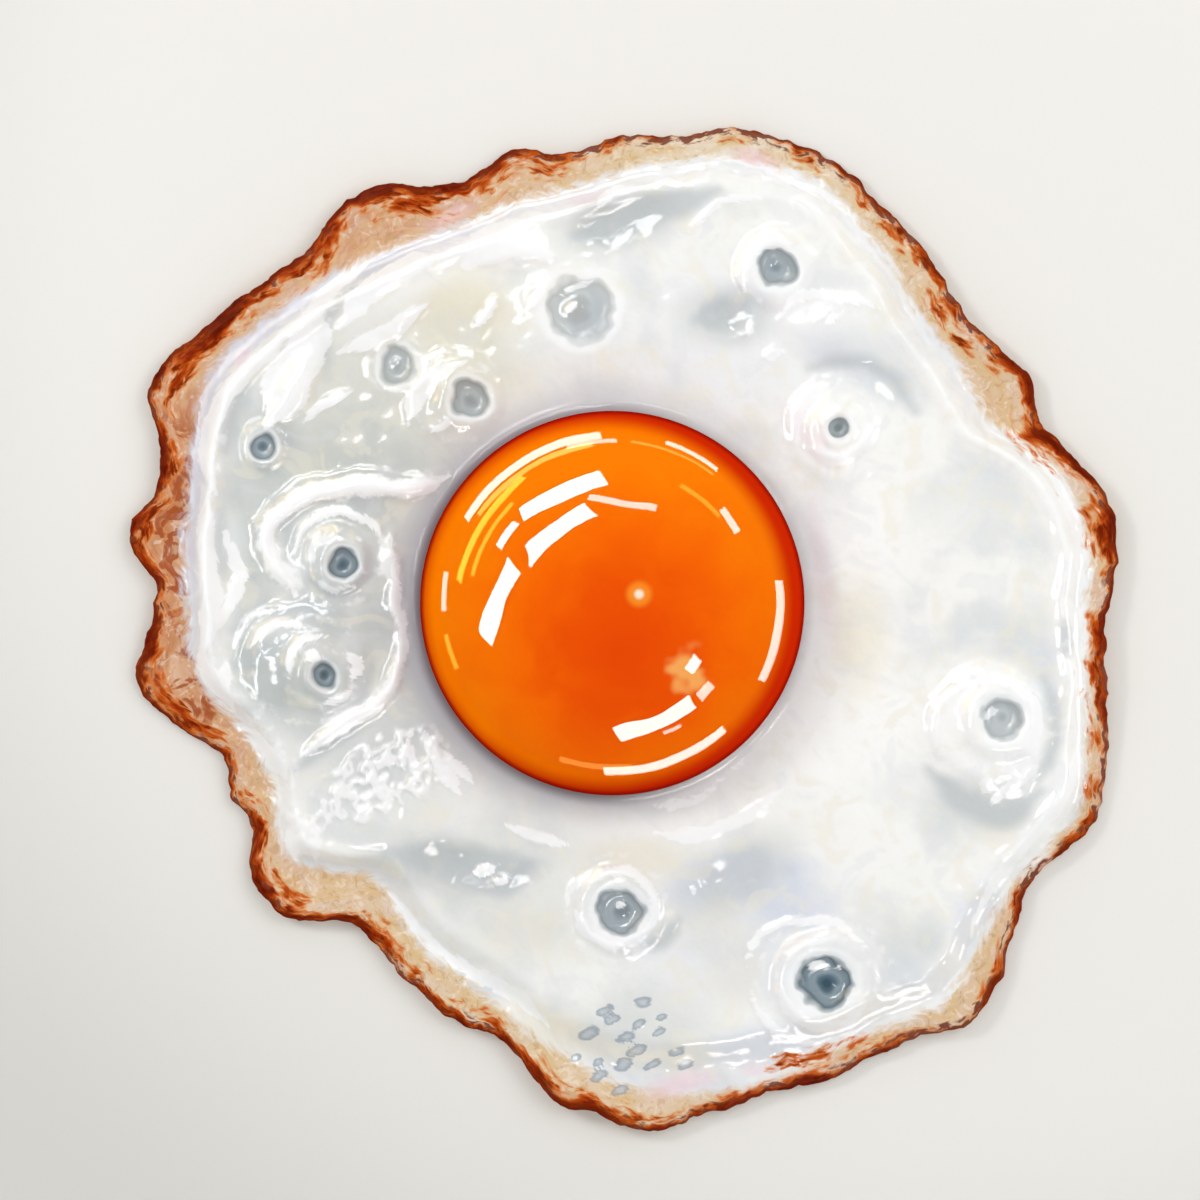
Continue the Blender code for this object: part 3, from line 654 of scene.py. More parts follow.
def wrinkles(x, y):
    """Share of wrinkling from 0 to 1: crests of a folded noise inside the wrinkled patches."""
    inside = sum(1 - smooth_step(WRINKLE_FADE, 1.0, ellipse_at(x, y, patch)) for patch in WRINKLED)
    crests = np.zeros_like(x)
    marked = inside > 0
    folded = 1 - np.abs(noise_at(x[marked], y[marked], WRINKLE_GRAIN, 5.5)) * WRINKLE_SHARPNESS
    crests[marked] = np.clip(folded, 0, 1)
    return np.clip(inside, 0, 1) * crests


def nearest_oval(x, y, ovals):
    """Which oval is nearest, and the place in it along and across, where 1 is the oval's edge."""
    places = np.array([oval_place(x, y, oval) for oval in ovals])
    along, across = places[:, 0], places[:, 1]
    nearest = np.argmin(np.hypot(along, across), axis=0)
    places = [np.take_along_axis(way, nearest[None], axis=0)[0] for way in (along, across)]
    return nearest, *np.clip(places, -OVAL_REACH, OVAL_REACH)


def pore_ovals():
    return [(x, y, half, half * PORE_WIDTH, PORE_TILT) for x, y, half in PORES]


def pit_ovals():
    return [(x, y, radius, radius, 0) for x, y, radius, *_ in BUBBLES]


def out_from(x, y, x0, y0, radius):
    """Distance from the middle of a round thing given in mm, where 1 is its edge."""
    return np.hypot(x - x0 * MM, y - y0 * MM) / (radius * MM)


def fine_relief(x, y, body):
    """What the looks add to the main shapes of the white: strands, rings, wrinkles, pores and skin."""
    relief = STROKE_HEIGHT * (1 - smooth_step(*STROKE_SIDE, beyond_strokes(x, y, SKIN_AND_HIGHLIGHT_STROKES)))
    relief += sum(ring[3] * MM * ring_share(x, y, ring) for ring in SKIN_RINGS)
    relief += WRINKLE_HEIGHT * wrinkles(x, y)
    _, along, across = nearest_oval(x, y, pore_ovals())
    relief -= PORE_DEPTH * (1 - smooth_step(*PORE_SIDE, np.hypot(along, across)))
    for x0, y0, radius in TINY_BUBBLES:
        relief += TINY_HEIGHT * dome(out_from(x, y, x0, y0, radius))
    for x0, y0, radius, *_ in BUBBLES:
        relief += FILM_DOME * radius * MM * bump(out_from(x, y, x0, y0, radius), FILM_DOME_WIDTH)
    skin = SKIN_WOBBLE * noise_at(x, y, SKIN_GRAIN, 8.8) + FINE_WOBBLE * noise_at(x, y, FINE_GRAIN, 9.9)
    lumps = LUMP_HEIGHT * noise_at(x, y, LUMP_GRAIN, 6.6)
    return relief * body + skin * body + lumps * (1 - body)


def main_relief(x, y):
    relief = ROLL_HEIGHT * noise_at(x, y, ROLL_GRAIN, 4.1)
    relief += sum(bubble_relief(x, y, bubble) for bubble in BUBBLES)
    relief += sum(swelling_relief(x, y, swelling) for swelling in SWELLINGS)
    return relief + sum(fold[1] * MM * fold_share(x, y, fold) for fold in FOLDS)


def wandering(x, y):
    """The same points pushed about a little, so that rings and pits come out slightly uneven."""
    return x + WANDER * noise_at(x, y, WANDER_OVER, 21.3), y + WANDER * noise_at(x, y, WANDER_OVER, 34.7)


def top_surface(plan, radius):
    """Height of the upper side for rows of radii, one column a bearing, and its relief in mm."""
    x, y = wandering(radius * np.cos(plan.angle), radius * np.sin(plan.angle))
    inset = plan.rim - radius
    inside = plan.body_edge - radius
    body = smooth_step(0, round_rim(STEP, plan.bearing) * MM, inside)
    edge = np.sqrt(np.clip(inset / EDGE_ROUND, 0, 1))
    fringe_share = np.clip(inset / (plan.rim - plan.body_edge), 0, 1)
    thickness = (FRINGE_THICKNESS + FRINGE_GAIN * fringe_share) * (RIM_THINNESS + (1 - RIM_THINNESS) * edge)
    crags = CRAG_HEIGHT * noise_at(x, y, CRAG_GRAIN, 1.7) * (1 - body) * edge
    fringe = underside(plan.bearing, inset) + thickness + crags
    relief = main_relief(x, y) + round_rim(LIP, plan.bearing) * MM * bump(inside - LIP_INSET, LIP_WIDTH)
    calm = smooth_step(CALM_START, CALM_END, radius)
    contact = pocket_radius(CONTACT_HEIGHT)
    climb = (CONTACT_HEIGHT - calm_height(contact)) * np.exp(-(radius - contact) / CLIMB_WIDTH)
    full = calm_height(radius) + climb + relief * calm
    height = fringe * (1 - body) + full * body
    height += fine_relief(x, y, body) * np.minimum(edge, calm + CALM_FINE_RELIEF)
    return height, relief * calm / MM


def lip_white_and_highlight_share(plan, x, y, radius):
    """How white a point is on a lip, fold, wrinkle or ring of skin, from 0 to 1: thicker skin and painted
    highlight.
    """
    inside = plan.body_edge - radius
    lip = np.minimum(round_rim(LIP, plan.bearing), 1) * bump(inside - LIP_INSET, LIP_SPREAD * LIP_WIDTH)
    folds = sum(fold_share(x, y, fold) for fold in FOLDS)
    rings = sum(ring_share(x, y, ring) for ring in SKIN_RINGS)
    return np.clip(LIP_SHARE * lip + folds + RING_SHARE * rings + wrinkles(x, y), 0, 1)


def tint(x, y, areas):
    tinted = sum(area[5] * (1 - smooth_step(*TINT_FADE, ellipse_at(x, y, area))) for area in areas)
    return np.clip(tinted, 0, 1)


def oval_marks(name, along, across):
    return {f"{name}_along": along, f"{name}_across": across, f"{name}_distance": np.hypot(along, across)}


def white_marks(plan, rows, relief):
    """Values at every point that the finish is painted by, one array a name."""
    radius = np.hypot(rows[..., 0], rows[..., 1])
    x, y = wandering(rows[..., 0], rows[..., 1])
    pit, *in_pit = nearest_oval(x, y, pit_ovals())
    _, *in_pore = nearest_oval(x, y, pore_ovals())
    inset = (plan.rim - radius) / MM
    shares = {"toast": TOAST, "lilac": LILAC_BAND, "yolk_shade": YOLK_SHADE}
    tints = {"grey": GREY_AND_PAINTED_SHADE_AREAS, "cream": CREAM_AREAS, "blue": BLUE_AREAS}
    tints |= {"bright": PAINTED_LIGHT_AREAS, "pink": PINK_AREAS}
    return {
        "inset_mm": inset,
        "inside_mm": (plan.body_edge - radius) / MM + round_rim(WHITE_REACH, plan.bearing),
        "crust_mm": round_rim(CRUST, plan.bearing) - inset,
        **{name: np.broadcast_to(round_rim(at, plan.bearing), radius.shape) for name, at in shares.items()},
        "relief_mm": relief,
        "lip": lip_white_and_highlight_share(plan, x, y, radius),
        "skin_and_highlight_mm": beyond_strokes(x, y, SKIN_AND_HIGHLIGHT_STROKES),
        "shade_mm": beyond_strokes(x, y, SHADES),
        **{name: tint(x, y, areas) for name, areas in tints.items()},
        **oval_marks("pit", *in_pit),
        "pit_shade": np.array(FILM_SHADES)[pit],
        **oval_marks("pore", *in_pore),
        "radius_mm": radius / MM,
    }


def closed_mesh(name, first, rows, last):
    """A closed mesh through rows of points, from a first point to a last one."""
    count, sectors, _ = rows.shape
    verts = np.concatenate([[first], rows.reshape(-1, 3), [last]])
    index = 1 + np.arange(count * sectors).reshape(count, sectors)
    beside = np.roll(index, -1, axis=1)
    quads = np.stack([index[:-1], index[1:], beside[1:], beside[:-1]], axis=-1).reshape(-1, 4)
    caps = [(0, a, b) for a, b in zip(index[0], beside[0])]
    caps += [(len(verts) - 1, b, a) for a, b in zip(index[-1], beside[-1])]
    mesh = bpy.data.meshes.new(name)
    mesh.from_pydata(verts.tolist(), [], quads.tolist() + caps)
    mesh.shade_smooth()
    return mesh


def paint(mesh, marks):
    """Stores the marks as attributes. The first and last points repeat the values of the next rows."""
    for name, values in marks.items():
        flat = np.concatenate([[values[0, 0]], values.ravel(), [values[-1, 0]]])
        attribute = mesh.attributes.new(name, "FLOAT", "POINT")
        attribute.data.foreach_set("value", flat.astype(np.float32))


def upper_radii(plan):
    """Radii of the rows over the upper side, from the yolk to the rim, close together near the rim."""
    contact = pocket_radius(CONTACT_HEIGHT)
    band_start = plan.body_edge - EDGE_BAND
    body = contact + np.linspace(0, 1, BODY_ROWS)[:, None] * (band_start - contact)
    share = np.linspace(0, 1, EDGE_ROWS + 1)[1:, None]
    eased = share + EDGE_EASE * np.sin(math.pi * share)
    return np.concatenate([body, band_start + eased * (plan.rim - band_start)])


def side_rows(plan, rim_height):
    """Rows down the rounded side of the rim, between its upper and its lower edge."""
    low = underside(plan.bearing, 0)
    rows = []
    for share in np.arange(1, SIDE_ROWS + 1) / (SIDE_ROWS + 1):
        bulge = SIDE_BULGE * math.sin(math.pi * share)
        rows.append(plan.row(plan.rim + bulge, rim_height + (low - rim_height) * share))
    return rows


def under_rows(plan):
    rows = [plan.row(plan.rim - inset, underside(plan.bearing, inset)) for inset in UNDER_INSETS]
    inner = plan.rim - UNDER_INSETS[-1]
    return rows + [plan.row(inner * share, 0) for share in UNDER_SHARES]


def egg_white(plan):
    floor = YOLK_SEAT - CONTACT_GAP
    share = np.linspace(FIRST_POCKET_ROW, 1, POCKET_ROWS, endpoint=False) ** 2
    pocket_heights = floor + share * (CONTACT_HEIGHT - floor)
    pocket = [plan.row(pocket_radius(height), height) for height in pocket_heights]
    radii = upper_radii(plan)
    heights, relief = top_surface(plan, radii)
    upper = [plan.row(radius, height) for radius, height in zip(radii, heights)]
    rows = np.array(pocket + upper + side_rows(plan, heights[-1]) + under_rows(plan))
    all_relief = np.zeros(rows.shape[:2])
    all_relief[POCKET_ROWS : POCKET_ROWS + len(radii)] = relief
    mesh = closed_mesh("egg white", (0, 0, floor), rows, (0, 0, 0))
    marks = white_marks(plan, rows, all_relief)
    under = np.zeros(rows.shape[:2])
    under[POCKET_ROWS + len(radii) + SIDE_ROWS :] = 1
    paint(mesh, marks | {"under": under})
    return add_object("fried_egg_white", mesh, white_finish())


def egg_yolk():
    turn = np.linspace(math.pi / 2, -math.pi / 2, YOLK_ROWS + 2)[1:-1, None]
    angle = np.arange(YOLK_SECTORS) * 2 * math.pi / YOLK_SECTORS
    power = 2 / YOLK_SQUARENESS
    radius = YOLK_RADIUS * np.cos(turn) ** power * np.ones_like(angle)
    rise = np.where(turn > 0, YOLK_TOP - YOLK_EQUATOR, YOLK_EQUATOR - YOLK_SEAT)
    height = YOLK_EQUATOR + rise * np.sign(np.sin(turn)) * np.abs(np.sin(turn)) ** power * np.ones_like(angle)
    x, y = radius * np.cos(angle), radius * np.sin(angle)
    height += SPOT_RISE * bump(np.hypot(x - SPOT_AT[0], y - SPOT_AT[1]), SPOT_RADIUS) * (turn > 0)
    height += YOLK_WOBBLE * noise_at(x, y, YOLK_GRAIN, 15.2) * smooth_step(*WOBBLE_RISE, np.sin(turn))
    rows = np.stack([x, y, height], axis=-1)
    mesh = closed_mesh("egg yolk", (0, 0, YOLK_TOP), rows, (0, 0, YOLK_SEAT))
    return add_object("fried_egg_yolk", mesh, yolk_finish())


class Finish:
    """A new material, with short calls that add nodes and link them, and the colour painted so far."""

    def __init__(self, name):
        self.material = bpy.data.materials.new(name)
        self.material.use_nodes = True
        self.tree = self.material.node_tree
        self.surface = self.tree.nodes["Principled BSDF"]
        self.place = self.tree.nodes.new("ShaderNodeTexCoord").outputs["Object"]
        self.colour = None

    def put(self, socket, value):
        if isinstance(value, bpy.types.NodeSocket):
            self.tree.links.new(value, socket)
        else:
            socket.default_value = value

    def set(self, name, value):
        self.put(self.surface.inputs[name], value)

    def add(self, kind, inputs, **settings):
        """A new node, its inputs given by name or number."""
        node = self.tree.nodes.new(f"ShaderNode{kind}")
        for name, setting in settings.items():
            setattr(node, name, setting)
        for name, value in inputs.items():
            self.put(node.inputs[name], value)
        return node

    def attribute(self, name):
        return self.add("Attribute", {}, attribute_name=name).outputs["Fac"]

    def math(self, operation, first, second=0.0):
        return self.add("Math", {0: first, 1: second}, operation=operation).outputs[0]

    def plus(self, first, second):
        return self.math("ADD", first, second)

    def times(self, first, second):
        return self.math("MULTIPLY", first, second)

    def step(self, value, low, high, to_low=0.0, to_high=1.0):
        ends = {"Value": value, "From Min": low, "From Max": high, "To Min": to_low, "To Max": to_high}
        return self.add("MapRange", ends, interpolation_type="SMOOTHSTEP").outputs[0]

    def swing(self, value, reach):
        """A noise as a number that swings from minus a reach to plus it."""
        return self.step(value, 0.3, 0.7, -reach, reach)

    def noise(self, grain, detail=3.0, distortion=0.0, place=None):
        inputs = {"Vector": place or self.place, "Scale": 1 / grain}
        inputs |= {"Detail": detail, "Distortion": distortion}
        return self.add("TexNoise", inputs).outputs["Fac"]

    def mix(self, share, first, second):
        return self.add("Mix", {"Factor": share, 6: first, 7: second}, data_type="RGBA").outputs[2]

    def cover(self, share, *colour):
        """Paints over the colour so far, by a share, with a socket's colour or with red, green and blue."""
        self.colour = self.mix(share, self.colour, srgb(*colour) if len(colour) == 3 else colour[0])

    def ramp(self, value, *stops):
        """A colour for each value, between stops given as (value, red, green, blue)."""
        node = self.add("ValToRGB", {"Fac": value})
        elements = node.color_ramp.elements
        for _ in stops[2:]:
            elements.new(0.5)
        for element, (at, *colour) in zip(elements, stops):
            element.position = at
            element.color = srgb(*colour)
        return node.outputs["Color"]

    def roughen(self, height, distance, strength):
        inputs = {"Height": height, "Distance": distance, "Strength": strength}
        self.set("Normal", self.add("Bump", inputs).outputs["Normal"])

    def wet(self, weight, roughness):
        """A thin wet coat on a surface that doesn't shine by itself."""
        self.set("Coat Weight", weight)
        self.set("Coat Roughness", roughness)
        self.set("Coat IOR", WET_IOR)
        self.set("Specular IOR Level", 0.0)

    def vector(self, operation, first, second=(0, 0, 0)):
        second_input = "Scale" if operation == "SCALE" else 1
        return self.add("VectorMath", {0: first, second_input: second}, operation=operation).outputs[0]

    def distance(self, name):
        """Distance in an oval whose places and rough distance are stored, kept large where ovals meet."""
        squares = [self.math("POWER", self.attribute(f"{name}_{way}"), 2.0) for way in ("along", "across")]
        exact = self.math("SQRT", self.plus(*squares))
        rough = self.times(self.math("SUBTRACT", self.attribute(f"{name}_distance"), 0.6), 2.0)
        return self.math("MAXIMUM", exact, rough)

    def along_rim(self, stretch):
        """A place for noise whose marks run along the rim: finer across it by the given number of times."""
        outwards = self.vector("NORMALIZE", self.vector("MULTIPLY", self.place, (1, 1, 0)))
        across = self.times(self.attribute("inset_mm"), -stretch * MM)
        return self.vector("SCALE", outwards, self.plus(across, MEAN_REACH))

    def from_point(self, at):
        """Distance on the plan from a point, in metres."""
        place = self.add("SeparateXYZ", {0: self.place}).outputs
        x = self.math("SUBTRACT", place["X"], at[0])
        y = self.math("SUBTRACT", place["Y"], at[1])
        return self.math("SQRT", self.plus(self.times(x, x), self.times(y, y)))

    def out_from(self, at, radius):
        """Distance on the plan from a point, where 1 is a radius away."""
        return self.math("DIVIDE", self.from_point(at), radius)


def paint_thick_white(mat):
    """Milky white, creamier in places: painted shade in hollows and by folds, and on lips and skin rings
    partly a painted highlight.
    """
    relief = mat.attribute("relief_mm")
    cloud = mat.noise(9 * MM, 4)
    # Painted shade and highlight: greyer in the hollows of the relief and whiter on its raised places
    relief_shade_and_highlight = mat.plus(mat.step(relief, -0.9, 1.0), mat.swing(cloud, 0.2))
    mat.colour = mat.ramp(relief_shade_and_highlight, (0.0, 212, 216, 217), (0.45, 247, 246, 241), (1.0, 251, 250, 247))
    # Painted light right of the yolk, partly where its shadow falls
    mat.cover(mat.attribute("bright"), 255, 254, 250)
    patchy = mat.step(cloud, 0.3, 0.65, 0.55, 1.0)
    # The grey patches are partly painted shade
    for name, shade in (("cream", (238, 230, 206)), ("blue", (214, 219, 230)), ("grey", (195, 199, 196))):
        mat.cover(mat.times(mat.attribute(name), patchy), *shade)
    tints = mat.noise(5.5 * MM, 3, 1.0)
    mat.cover(mat.step(tints, 0.36, 0.46, 0.2, 0.0), 222, 226, 230)
    mat.cover(mat.step(tints, 0.54, 0.64, 0.0, 0.35), 240, 234, 216)
    # Painted shade beside the folds and blisters
    mat.cover(mat.step(mat.attribute("shade_mm"), -0.9, 1.0, 0.7, 0.0), 192, 197, 199)
    # Whiter along lips, folds, wrinkles and rings of skin: thicker skin, and a painted highlight on the
    # crests
    uneven = mat.swing(mat.noise(1.4 * MM, 3), 0.2)
    mat.cover(mat.step(mat.plus(mat.attribute("lip"), uneven), 0.25, 0.7, 0.0, 0.85), 252, 252, 250)


def paint_yolk_shadow(mat):
    """Painted shadow of the yolk on the white round it: a faint lilac band and a darker contact line."""
    radius, share = mat.attribute("radius_mm"), mat.attribute("yolk_shade")
    mat.cover(mat.times(mat.step(radius, 22.0, 27.2, 0.9, 0.0), share), 188, 187, 193)
    # Painted contact shadow where the white meets the yolk
    mat.cover(mat.times(mat.step(radius, 22.0, 23.6, 0.85, 0.0), share), 114, 100, 104)


def paint_pits(mat):
    """Blue-grey film in the burst blisters, with a dark rim and a paler ring outside it."""
    distance, shade = mat.distance("pit"), mat.attribute("pit_shade")
    wobble = mat.swing(mat.noise(2.4 * MM, 1.0), 0.12)
    at = mat.times(mat.plus(distance, wobble), 0.5)
    film = mat.ramp(
        at,
        (0.0, 66, 88, 100), (0.12, 96, 116, 128), (0.22, 146, 160, 168),
        (0.36, 134, 149, 157), (0.43, 104, 120, 129), (0.5, 190, 196, 198),
    )
    inside = mat.step(at, 0.5, 0.56, 1.0, 0.0)
    mat.cover(mat.times(inside, shade), film)
    brim = mat.math("SUBTRACT", mat.step(at, 0.5, 0.6), mat.step(at, 0.62, 0.85))
    mat.cover(mat.times(brim, 0.6), 250, 251, 251)


def paint_lilac_band(mat, ragged):
    """A faint lilac band just inside the fringe."""
    mat.cover(mat.times(mat.step(ragged, 1.4, 3.2, 0.8, 0.0), mat.attribute("lilac")), 214, 215, 227)


def paint_skin_and_highlights(mat, fine):
    """Painted highlights and reflections, and strands and sheets of opaque white skin, with slightly uneven
    edges.
    """
    edge = mat.plus(mat.attribute("skin_and_highlight_mm"), mat.swing(fine, 0.2))
    thin = mat.step(mat.noise(5 * MM, 3), 0.35, 0.65, 0.66, 0.96)
    mat.cover(mat.times(mat.step(edge, -0.22, 0.12, 1.0, 0.0), thin), 254, 254, 253)


def paint_fringe(mat, share, broad, fine):
    """Straw, peach and ochre, more orange where the fringe is more toasted, over the white by a share."""
    white = mat.colour
    pale = mat.ramp(
        broad, (0.3, 234, 222, 204), (0.45, 228, 209, 178), (0.57, 220, 194, 144), (0.7, 224, 205, 184)
    )
    toasted = mat.ramp(broad, (0.32, 198, 126, 80), (0.5, 210, 152, 110), (0.68, 224, 188, 160))
    toast = mat.attribute("toast")
    mat.colour = mat.mix(mat.times(toast, mat.step(fine, 0.3, 0.7, 0.7, 1.1)), pale, toasted)
    crumbs = mat.noise(1.1 * MM, 4, 1.0)
    mat.cover(mat.step(crumbs, 0.55, 0.66, 0.0, 0.35), 246, 236, 222)
    mat.cover(mat.step(crumbs, 0.36, 0.44, 0.4, 0.0), 190, 142, 96)
    patches = mat.step(mat.noise(3.4 * MM, 5, 1.2), 0.5, 0.56)
    mat.cover(mat.times(patches, mat.step(toast, 0.84, 1.0, 0.0, 0.85)), 166, 76, 34)
    mat.colour = mat.mix(share, white, mat.colour)


def paint_pores(mat, fine):
    ragged = mat.plus(mat.distance("pore"), mat.swing(fine, 0.2))
    film = mat.mix(mat.step(ragged, 0.2, 0.9), srgb(190, 198, 205), srgb(138, 153, 166))
    mat.cover(mat.step(ragged, 0.75, 1.15, 0.75, 0.0), film)


def paint_crust(mat, broad, fine):
    """Ragged dark crust along the rim, deepest at its edge, where it ends in a thin dark line."""
    crust, inset = mat.attribute("crust_mm"), mat.attribute("inset_mm")
    patches = mat.step(broad, 0.34, 0.66, -1.4, 1.4)
    streaks = mat.swing(fine, 0.9)
    depth = mat.plus(crust, mat.plus(patches, streaks))
    brown = mat.ramp(
        mat.step(depth, -1.2, 4.0),
        (0.0, 224, 166, 122), (0.16, 212, 124, 64), (0.38, 190, 84, 26),
        (0.66, 152, 49, 11), (0.95, 94, 20, 5),
    )
    dark = mat.step(mat.noise(3 * MM, 4, 0.8, mat.along_rim(RIM_STRETCH)), 0.5, 0.57)
    brown = mat.mix(mat.times(dark, mat.step(depth, 0.2, 1.2, 0.0, 0.75)), brown, srgb(98, 25, 8))
    mat.cover(mat.step(depth, -1.2, 0.6), brown)
    mat.cover(mat.step(mat.plus(inset, streaks), 0.0, 0.8, 0.9, 0.0), 116, 34, 10)


def paint_underside(mat, broad):
    under = mat.attribute("under")
    golden = mat.ramp(
        broad, (0.3, 244, 232, 208), (0.5, 232, 196, 140), (0.62, 206, 146, 80), (0.75, 160, 88, 38)
    )
    mat.cover(under, golden)


def wetness(mat, fringe):
    """Most in the blisters, least on the dry fringe, at the blisters' brims and in the shade by the yolk."""
    from_pit = mat.attribute("pit_distance")
    weight = mat.plus(mat.step(from_pit, 0.6, 0.85, 0.6, 0.0), mat.step(from_pit, 1.1, 1.5, 0.06, 0.4))
    weight = mat.times(weight, mat.step(fringe, 0.0, 1.0, 1.0, 0.06))
    by_yolk = mat.step(mat.attribute("radius_mm"), 22.4, 25.0, 0.9, 0.0)
    dull = mat.times(by_yolk, mat.attribute("yolk_shade"))
    return mat.times(weight, mat.math("SUBTRACT", 1.0, dull))


def white_finish():
    mat = Finish("cooked white")
    by_rim = mat.along_rim(RIM_STRETCH)
    broad, fine = mat.noise(5 * MM, 3, 0.4, by_rim), mat.noise(1.6 * MM, 4, 0.4, by_rim)
    paint_thick_white(mat)
    paint_yolk_shadow(mat)
    paint_pits(mat)
    ragged = mat.plus(mat.attribute("inside_mm"), mat.swing(fine, 0.5))
    paint_lilac_band(mat, ragged)
    paint_skin_and_highlights(mat, fine)
    fringe = mat.step(ragged, -0.4, 1.3, 1.0, 0.0)
    paint_fringe(mat, fringe, broad, fine)
    paint_pores(mat, fine)
    mat.cover(mat.times(mat.attribute("pink"), 0.6), 243, 208, 218)
    paint_crust(mat, broad, fine)
    paint_underside(mat, broad)
    mat.set("Base Color", mat.colour)
    dry = mat.step(fringe, 0.0, 1.0, 0.0, 0.2)
    mat.set("Roughness", mat.plus(dry, mat.step(fine, 0.3, 0.7, 0.26, 0.4)))
    mat.wet(wetness(mat, fringe), 0.08)
    mat.roughen(mat.noise(0.6 * MM, 3), 0.08 * MM, 0.5)
    return mat.material


def yolk_finish():
    """Deep orange, darker about a low middle (partly painted shade), dark red towards the rim, a pale spot
    and a painted glow.
    """
    mat = Finish("yolk")
    # Darker about a point below the middle: deeper orange there, and painted shade towards the bottom
    middle = mat.out_from(YOLK_MIDDLE, YOLK_RADIUS)
    cloud = mat.swing(mat.noise(7 * MM, 4, 0.4), 0.08)
    mat.colour = mat.ramp(
        mat.plus(middle, cloud),
        (0.0, 234, 72, 2), (0.3, 240, 82, 2), (0.55, 250, 103, 2), (0.95, 255, 127, 2),
    )
    mat.cover(mat.step(mat.out_from(RED_MIDDLE, YOLK_RADIUS), 0.875, 0.985), 208, 40, 4)
    mat.cover(mat.step(mat.out_from((0, 0), YOLK_RADIUS), 0.966, 0.998), 156, 12, 1)
    # Painted glow: a soft lighter patch on the yolk
    painted_glow = mat.out_from(GLOW_AT, GLOW_RADIUS)
    uneven = mat.swing(mat.noise(2.6 * MM, 1.0), 0.3)
    mat.cover(mat.step(mat.plus(painted_glow, uneven), 0.25, 0.85, 0.8, 0.0), 255, 184, 100)
    spot = mat.out_from(SPOT_AT, SPOT_RADIUS)
    mat.cover(mat.step(spot, 0.5, 1.1, 0.75, 0.0), 255, 156, 44)
    mat.cover(mat.step(spot, 0.15, 0.45, 0.9, 0.0), 255, 240, 215)
    mat.set("Base Color", mat.colour)
    mat.set("Roughness", 0.3)
    grazing = mat.add("LayerWeight", {}).outputs["Facing"]
    mat.wet(mat.step(grazing, 0.265, 0.31, 1.0, 0.0), 0.02)
    mat.roughen(mat.noise(2.2 * MM, 3), 0.03 * MM, 0.35)
    return mat.material


def floor_finish():
    mat = Finish("floor")
    # Painted shade: darker away from the brightest place, towards the lower left
    painted_floor_shade = mat.step(mat.from_point(FLOOR_BRIGHTEST), DIMMER_FROM, DIMMER_TO, 0.0, 0.9)
    mat.set("Base Color", mat.mix(painted_floor_shade, srgb(238, 235, 229), srgb(212, 210, 204)))
    mat.set("Roughness", 0.9)
    mat.set("Specular IOR Level", 0.1)
    return mat.material


def add_object(name, data, finish=None):
    made = bpy.data.objects.new(name, data)
    bpy.context.scene.collection.objects.link(made)
    if finish:
        data.materials.append(finish)
    return made


def floor():
    bpy.ops.mesh.primitive_plane_add(size=FLOOR_SIZE, location=(0, 0, 0))
    made = bpy.context.object
    made.name = "floor"
    made.data.materials.append(floor_finish())
    return made


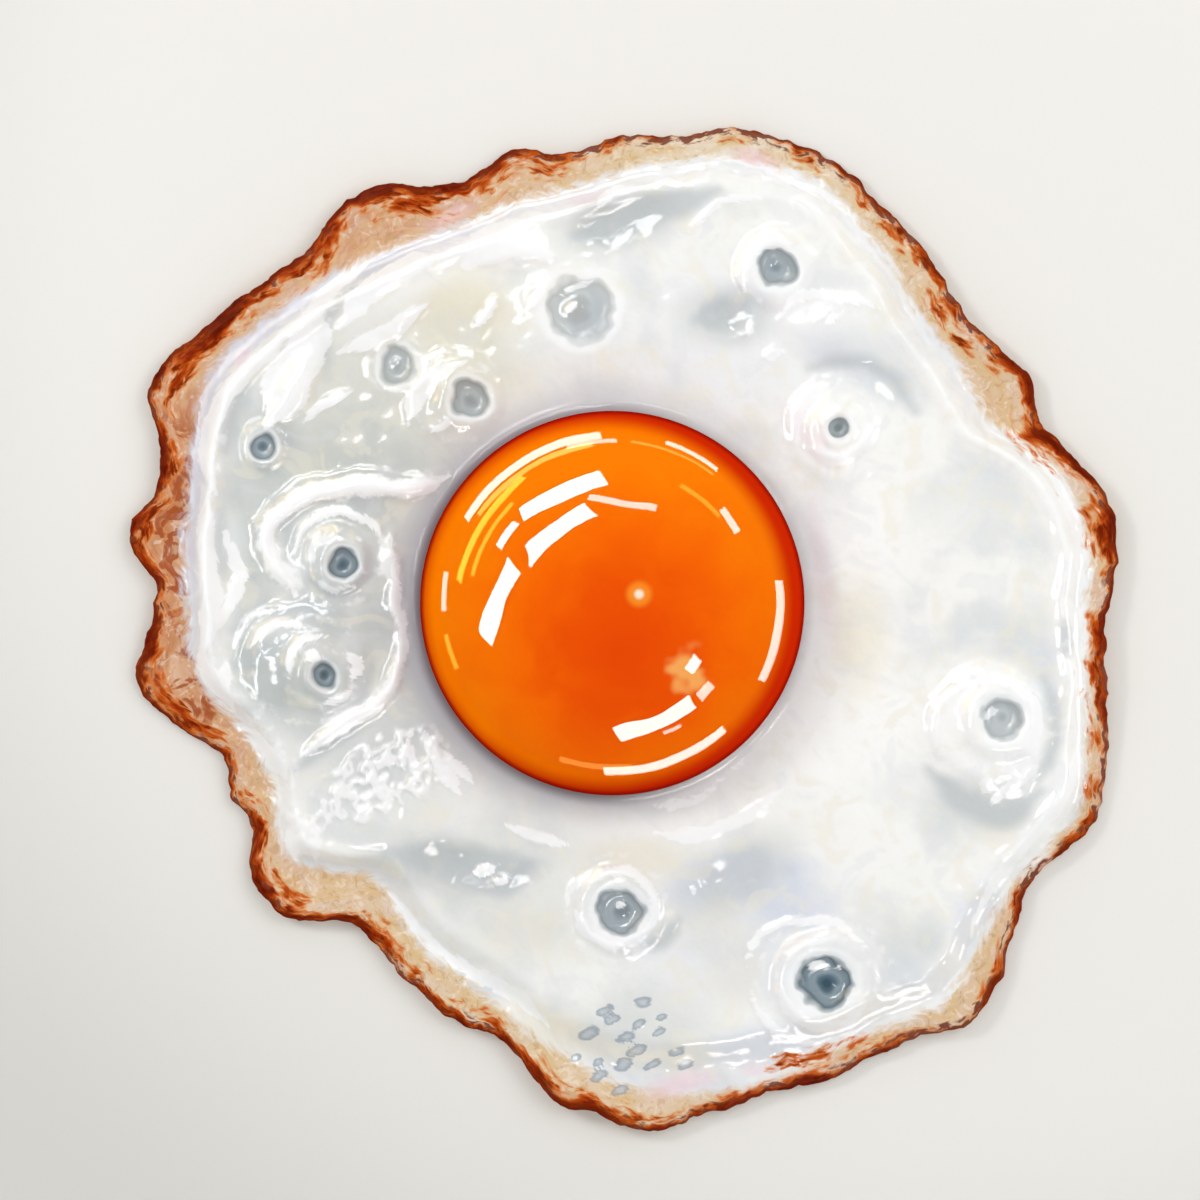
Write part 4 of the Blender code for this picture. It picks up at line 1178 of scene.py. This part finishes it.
def globe_light(name, bearing, half_span, near, far, roll, radiance, colour):
    """A flat lamp on the half globe, facing its middle and rolled about that line."""
    tilt = math.radians((near + far) / 2)
    turn = math.radians(bearing)
    way = Vector((math.sin(tilt) * math.cos(turn), math.sin(tilt) * math.sin(turn), math.cos(tilt)))
    lamp = bpy.data.lights.new(name, "AREA")
    lamp.shape = "RECTANGLE"
    lamp.size = 2 * GLOBE_RADIUS * math.sin(tilt) * math.sin(math.radians(half_span))
    lamp.size_y = 2 * GLOBE_RADIUS * math.tan(math.radians(far - near) / 2)
    lamp.color = colour
    lamp.energy = radiance * math.pi * lamp.size * lamp.size_y
    made = add_object(name, lamp)
    made.location = GLOBE_MIDDLE + way * GLOBE_RADIUS
    facing = way.to_track_quat("Z", "Y") @ Quaternion((0, 0, 1), math.radians(roll))
    made.rotation_euler = facing.to_euler()
    made.visible_camera = False
    return made


def soft_light(name, bearing, half_span, near, far, light_on_floor):
    """A lamp that lights the floor by a given share of full white and shows in no reflection."""
    made = globe_light(name, bearing, half_span, near, far, 0, 1.0, WHITE)
    tilt = math.radians((near + far) / 2)
    covered = made.data.size * made.data.size_y / GLOBE_RADIUS**2 * math.cos(tilt) / math.pi
    made.data.energy *= light_on_floor / covered
    made.visible_glossy = False
    return made


def lights():
    for number, pane in enumerate(PANES):
        shown = globe_light(f"pane {number}", *pane)
        shown.visible_diffuse = False
        shown.visible_transmission = False
    soft_light("key light", *KEY)
    soft_light("room light", *ROOM)


def sky():
    """Pale light from all round, much weaker where it would show as a reflection."""
    world = bpy.data.worlds.new("sky")
    bpy.context.scene.world = world
    world.use_nodes = True
    tree = world.node_tree
    path = tree.nodes.new("ShaderNodeLightPath")
    strength = tree.nodes.new("ShaderNodeMapRange")
    strength.inputs["To Min"].default_value = SKY
    strength.inputs["To Max"].default_value = SKY_IN_REFLECTIONS
    background = tree.nodes["Background"]
    background.inputs["Color"].default_value = SKY_COLOUR
    tree.links.new(path.outputs["Is Glossy Ray"], strength.inputs["Value"])
    tree.links.new(strength.outputs[0], background.inputs["Strength"])


def camera():
    data = bpy.data.cameras.new("camera")
    data.sensor_fit = "HORIZONTAL"
    data.sensor_width = SENSOR
    data.lens = SENSOR * (CAMERA_HEIGHT - VIEW_PLANE) / VIEW_WIDTH
    data.clip_start = NEAREST_SEEN
    made = add_object("camera", data)
    made.location = (*VIEW_AT, CAMERA_HEIGHT)
    bpy.context.scene.camera = made


white = egg_white(Plan())
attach(white, "root")
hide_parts("egg_white")

yolk = egg_yolk()
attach(yolk, "root")
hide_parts("egg_yolk")

floor()
lights()
sky()
camera()
bpy.context.scene.view_settings.view_transform = "Standard"
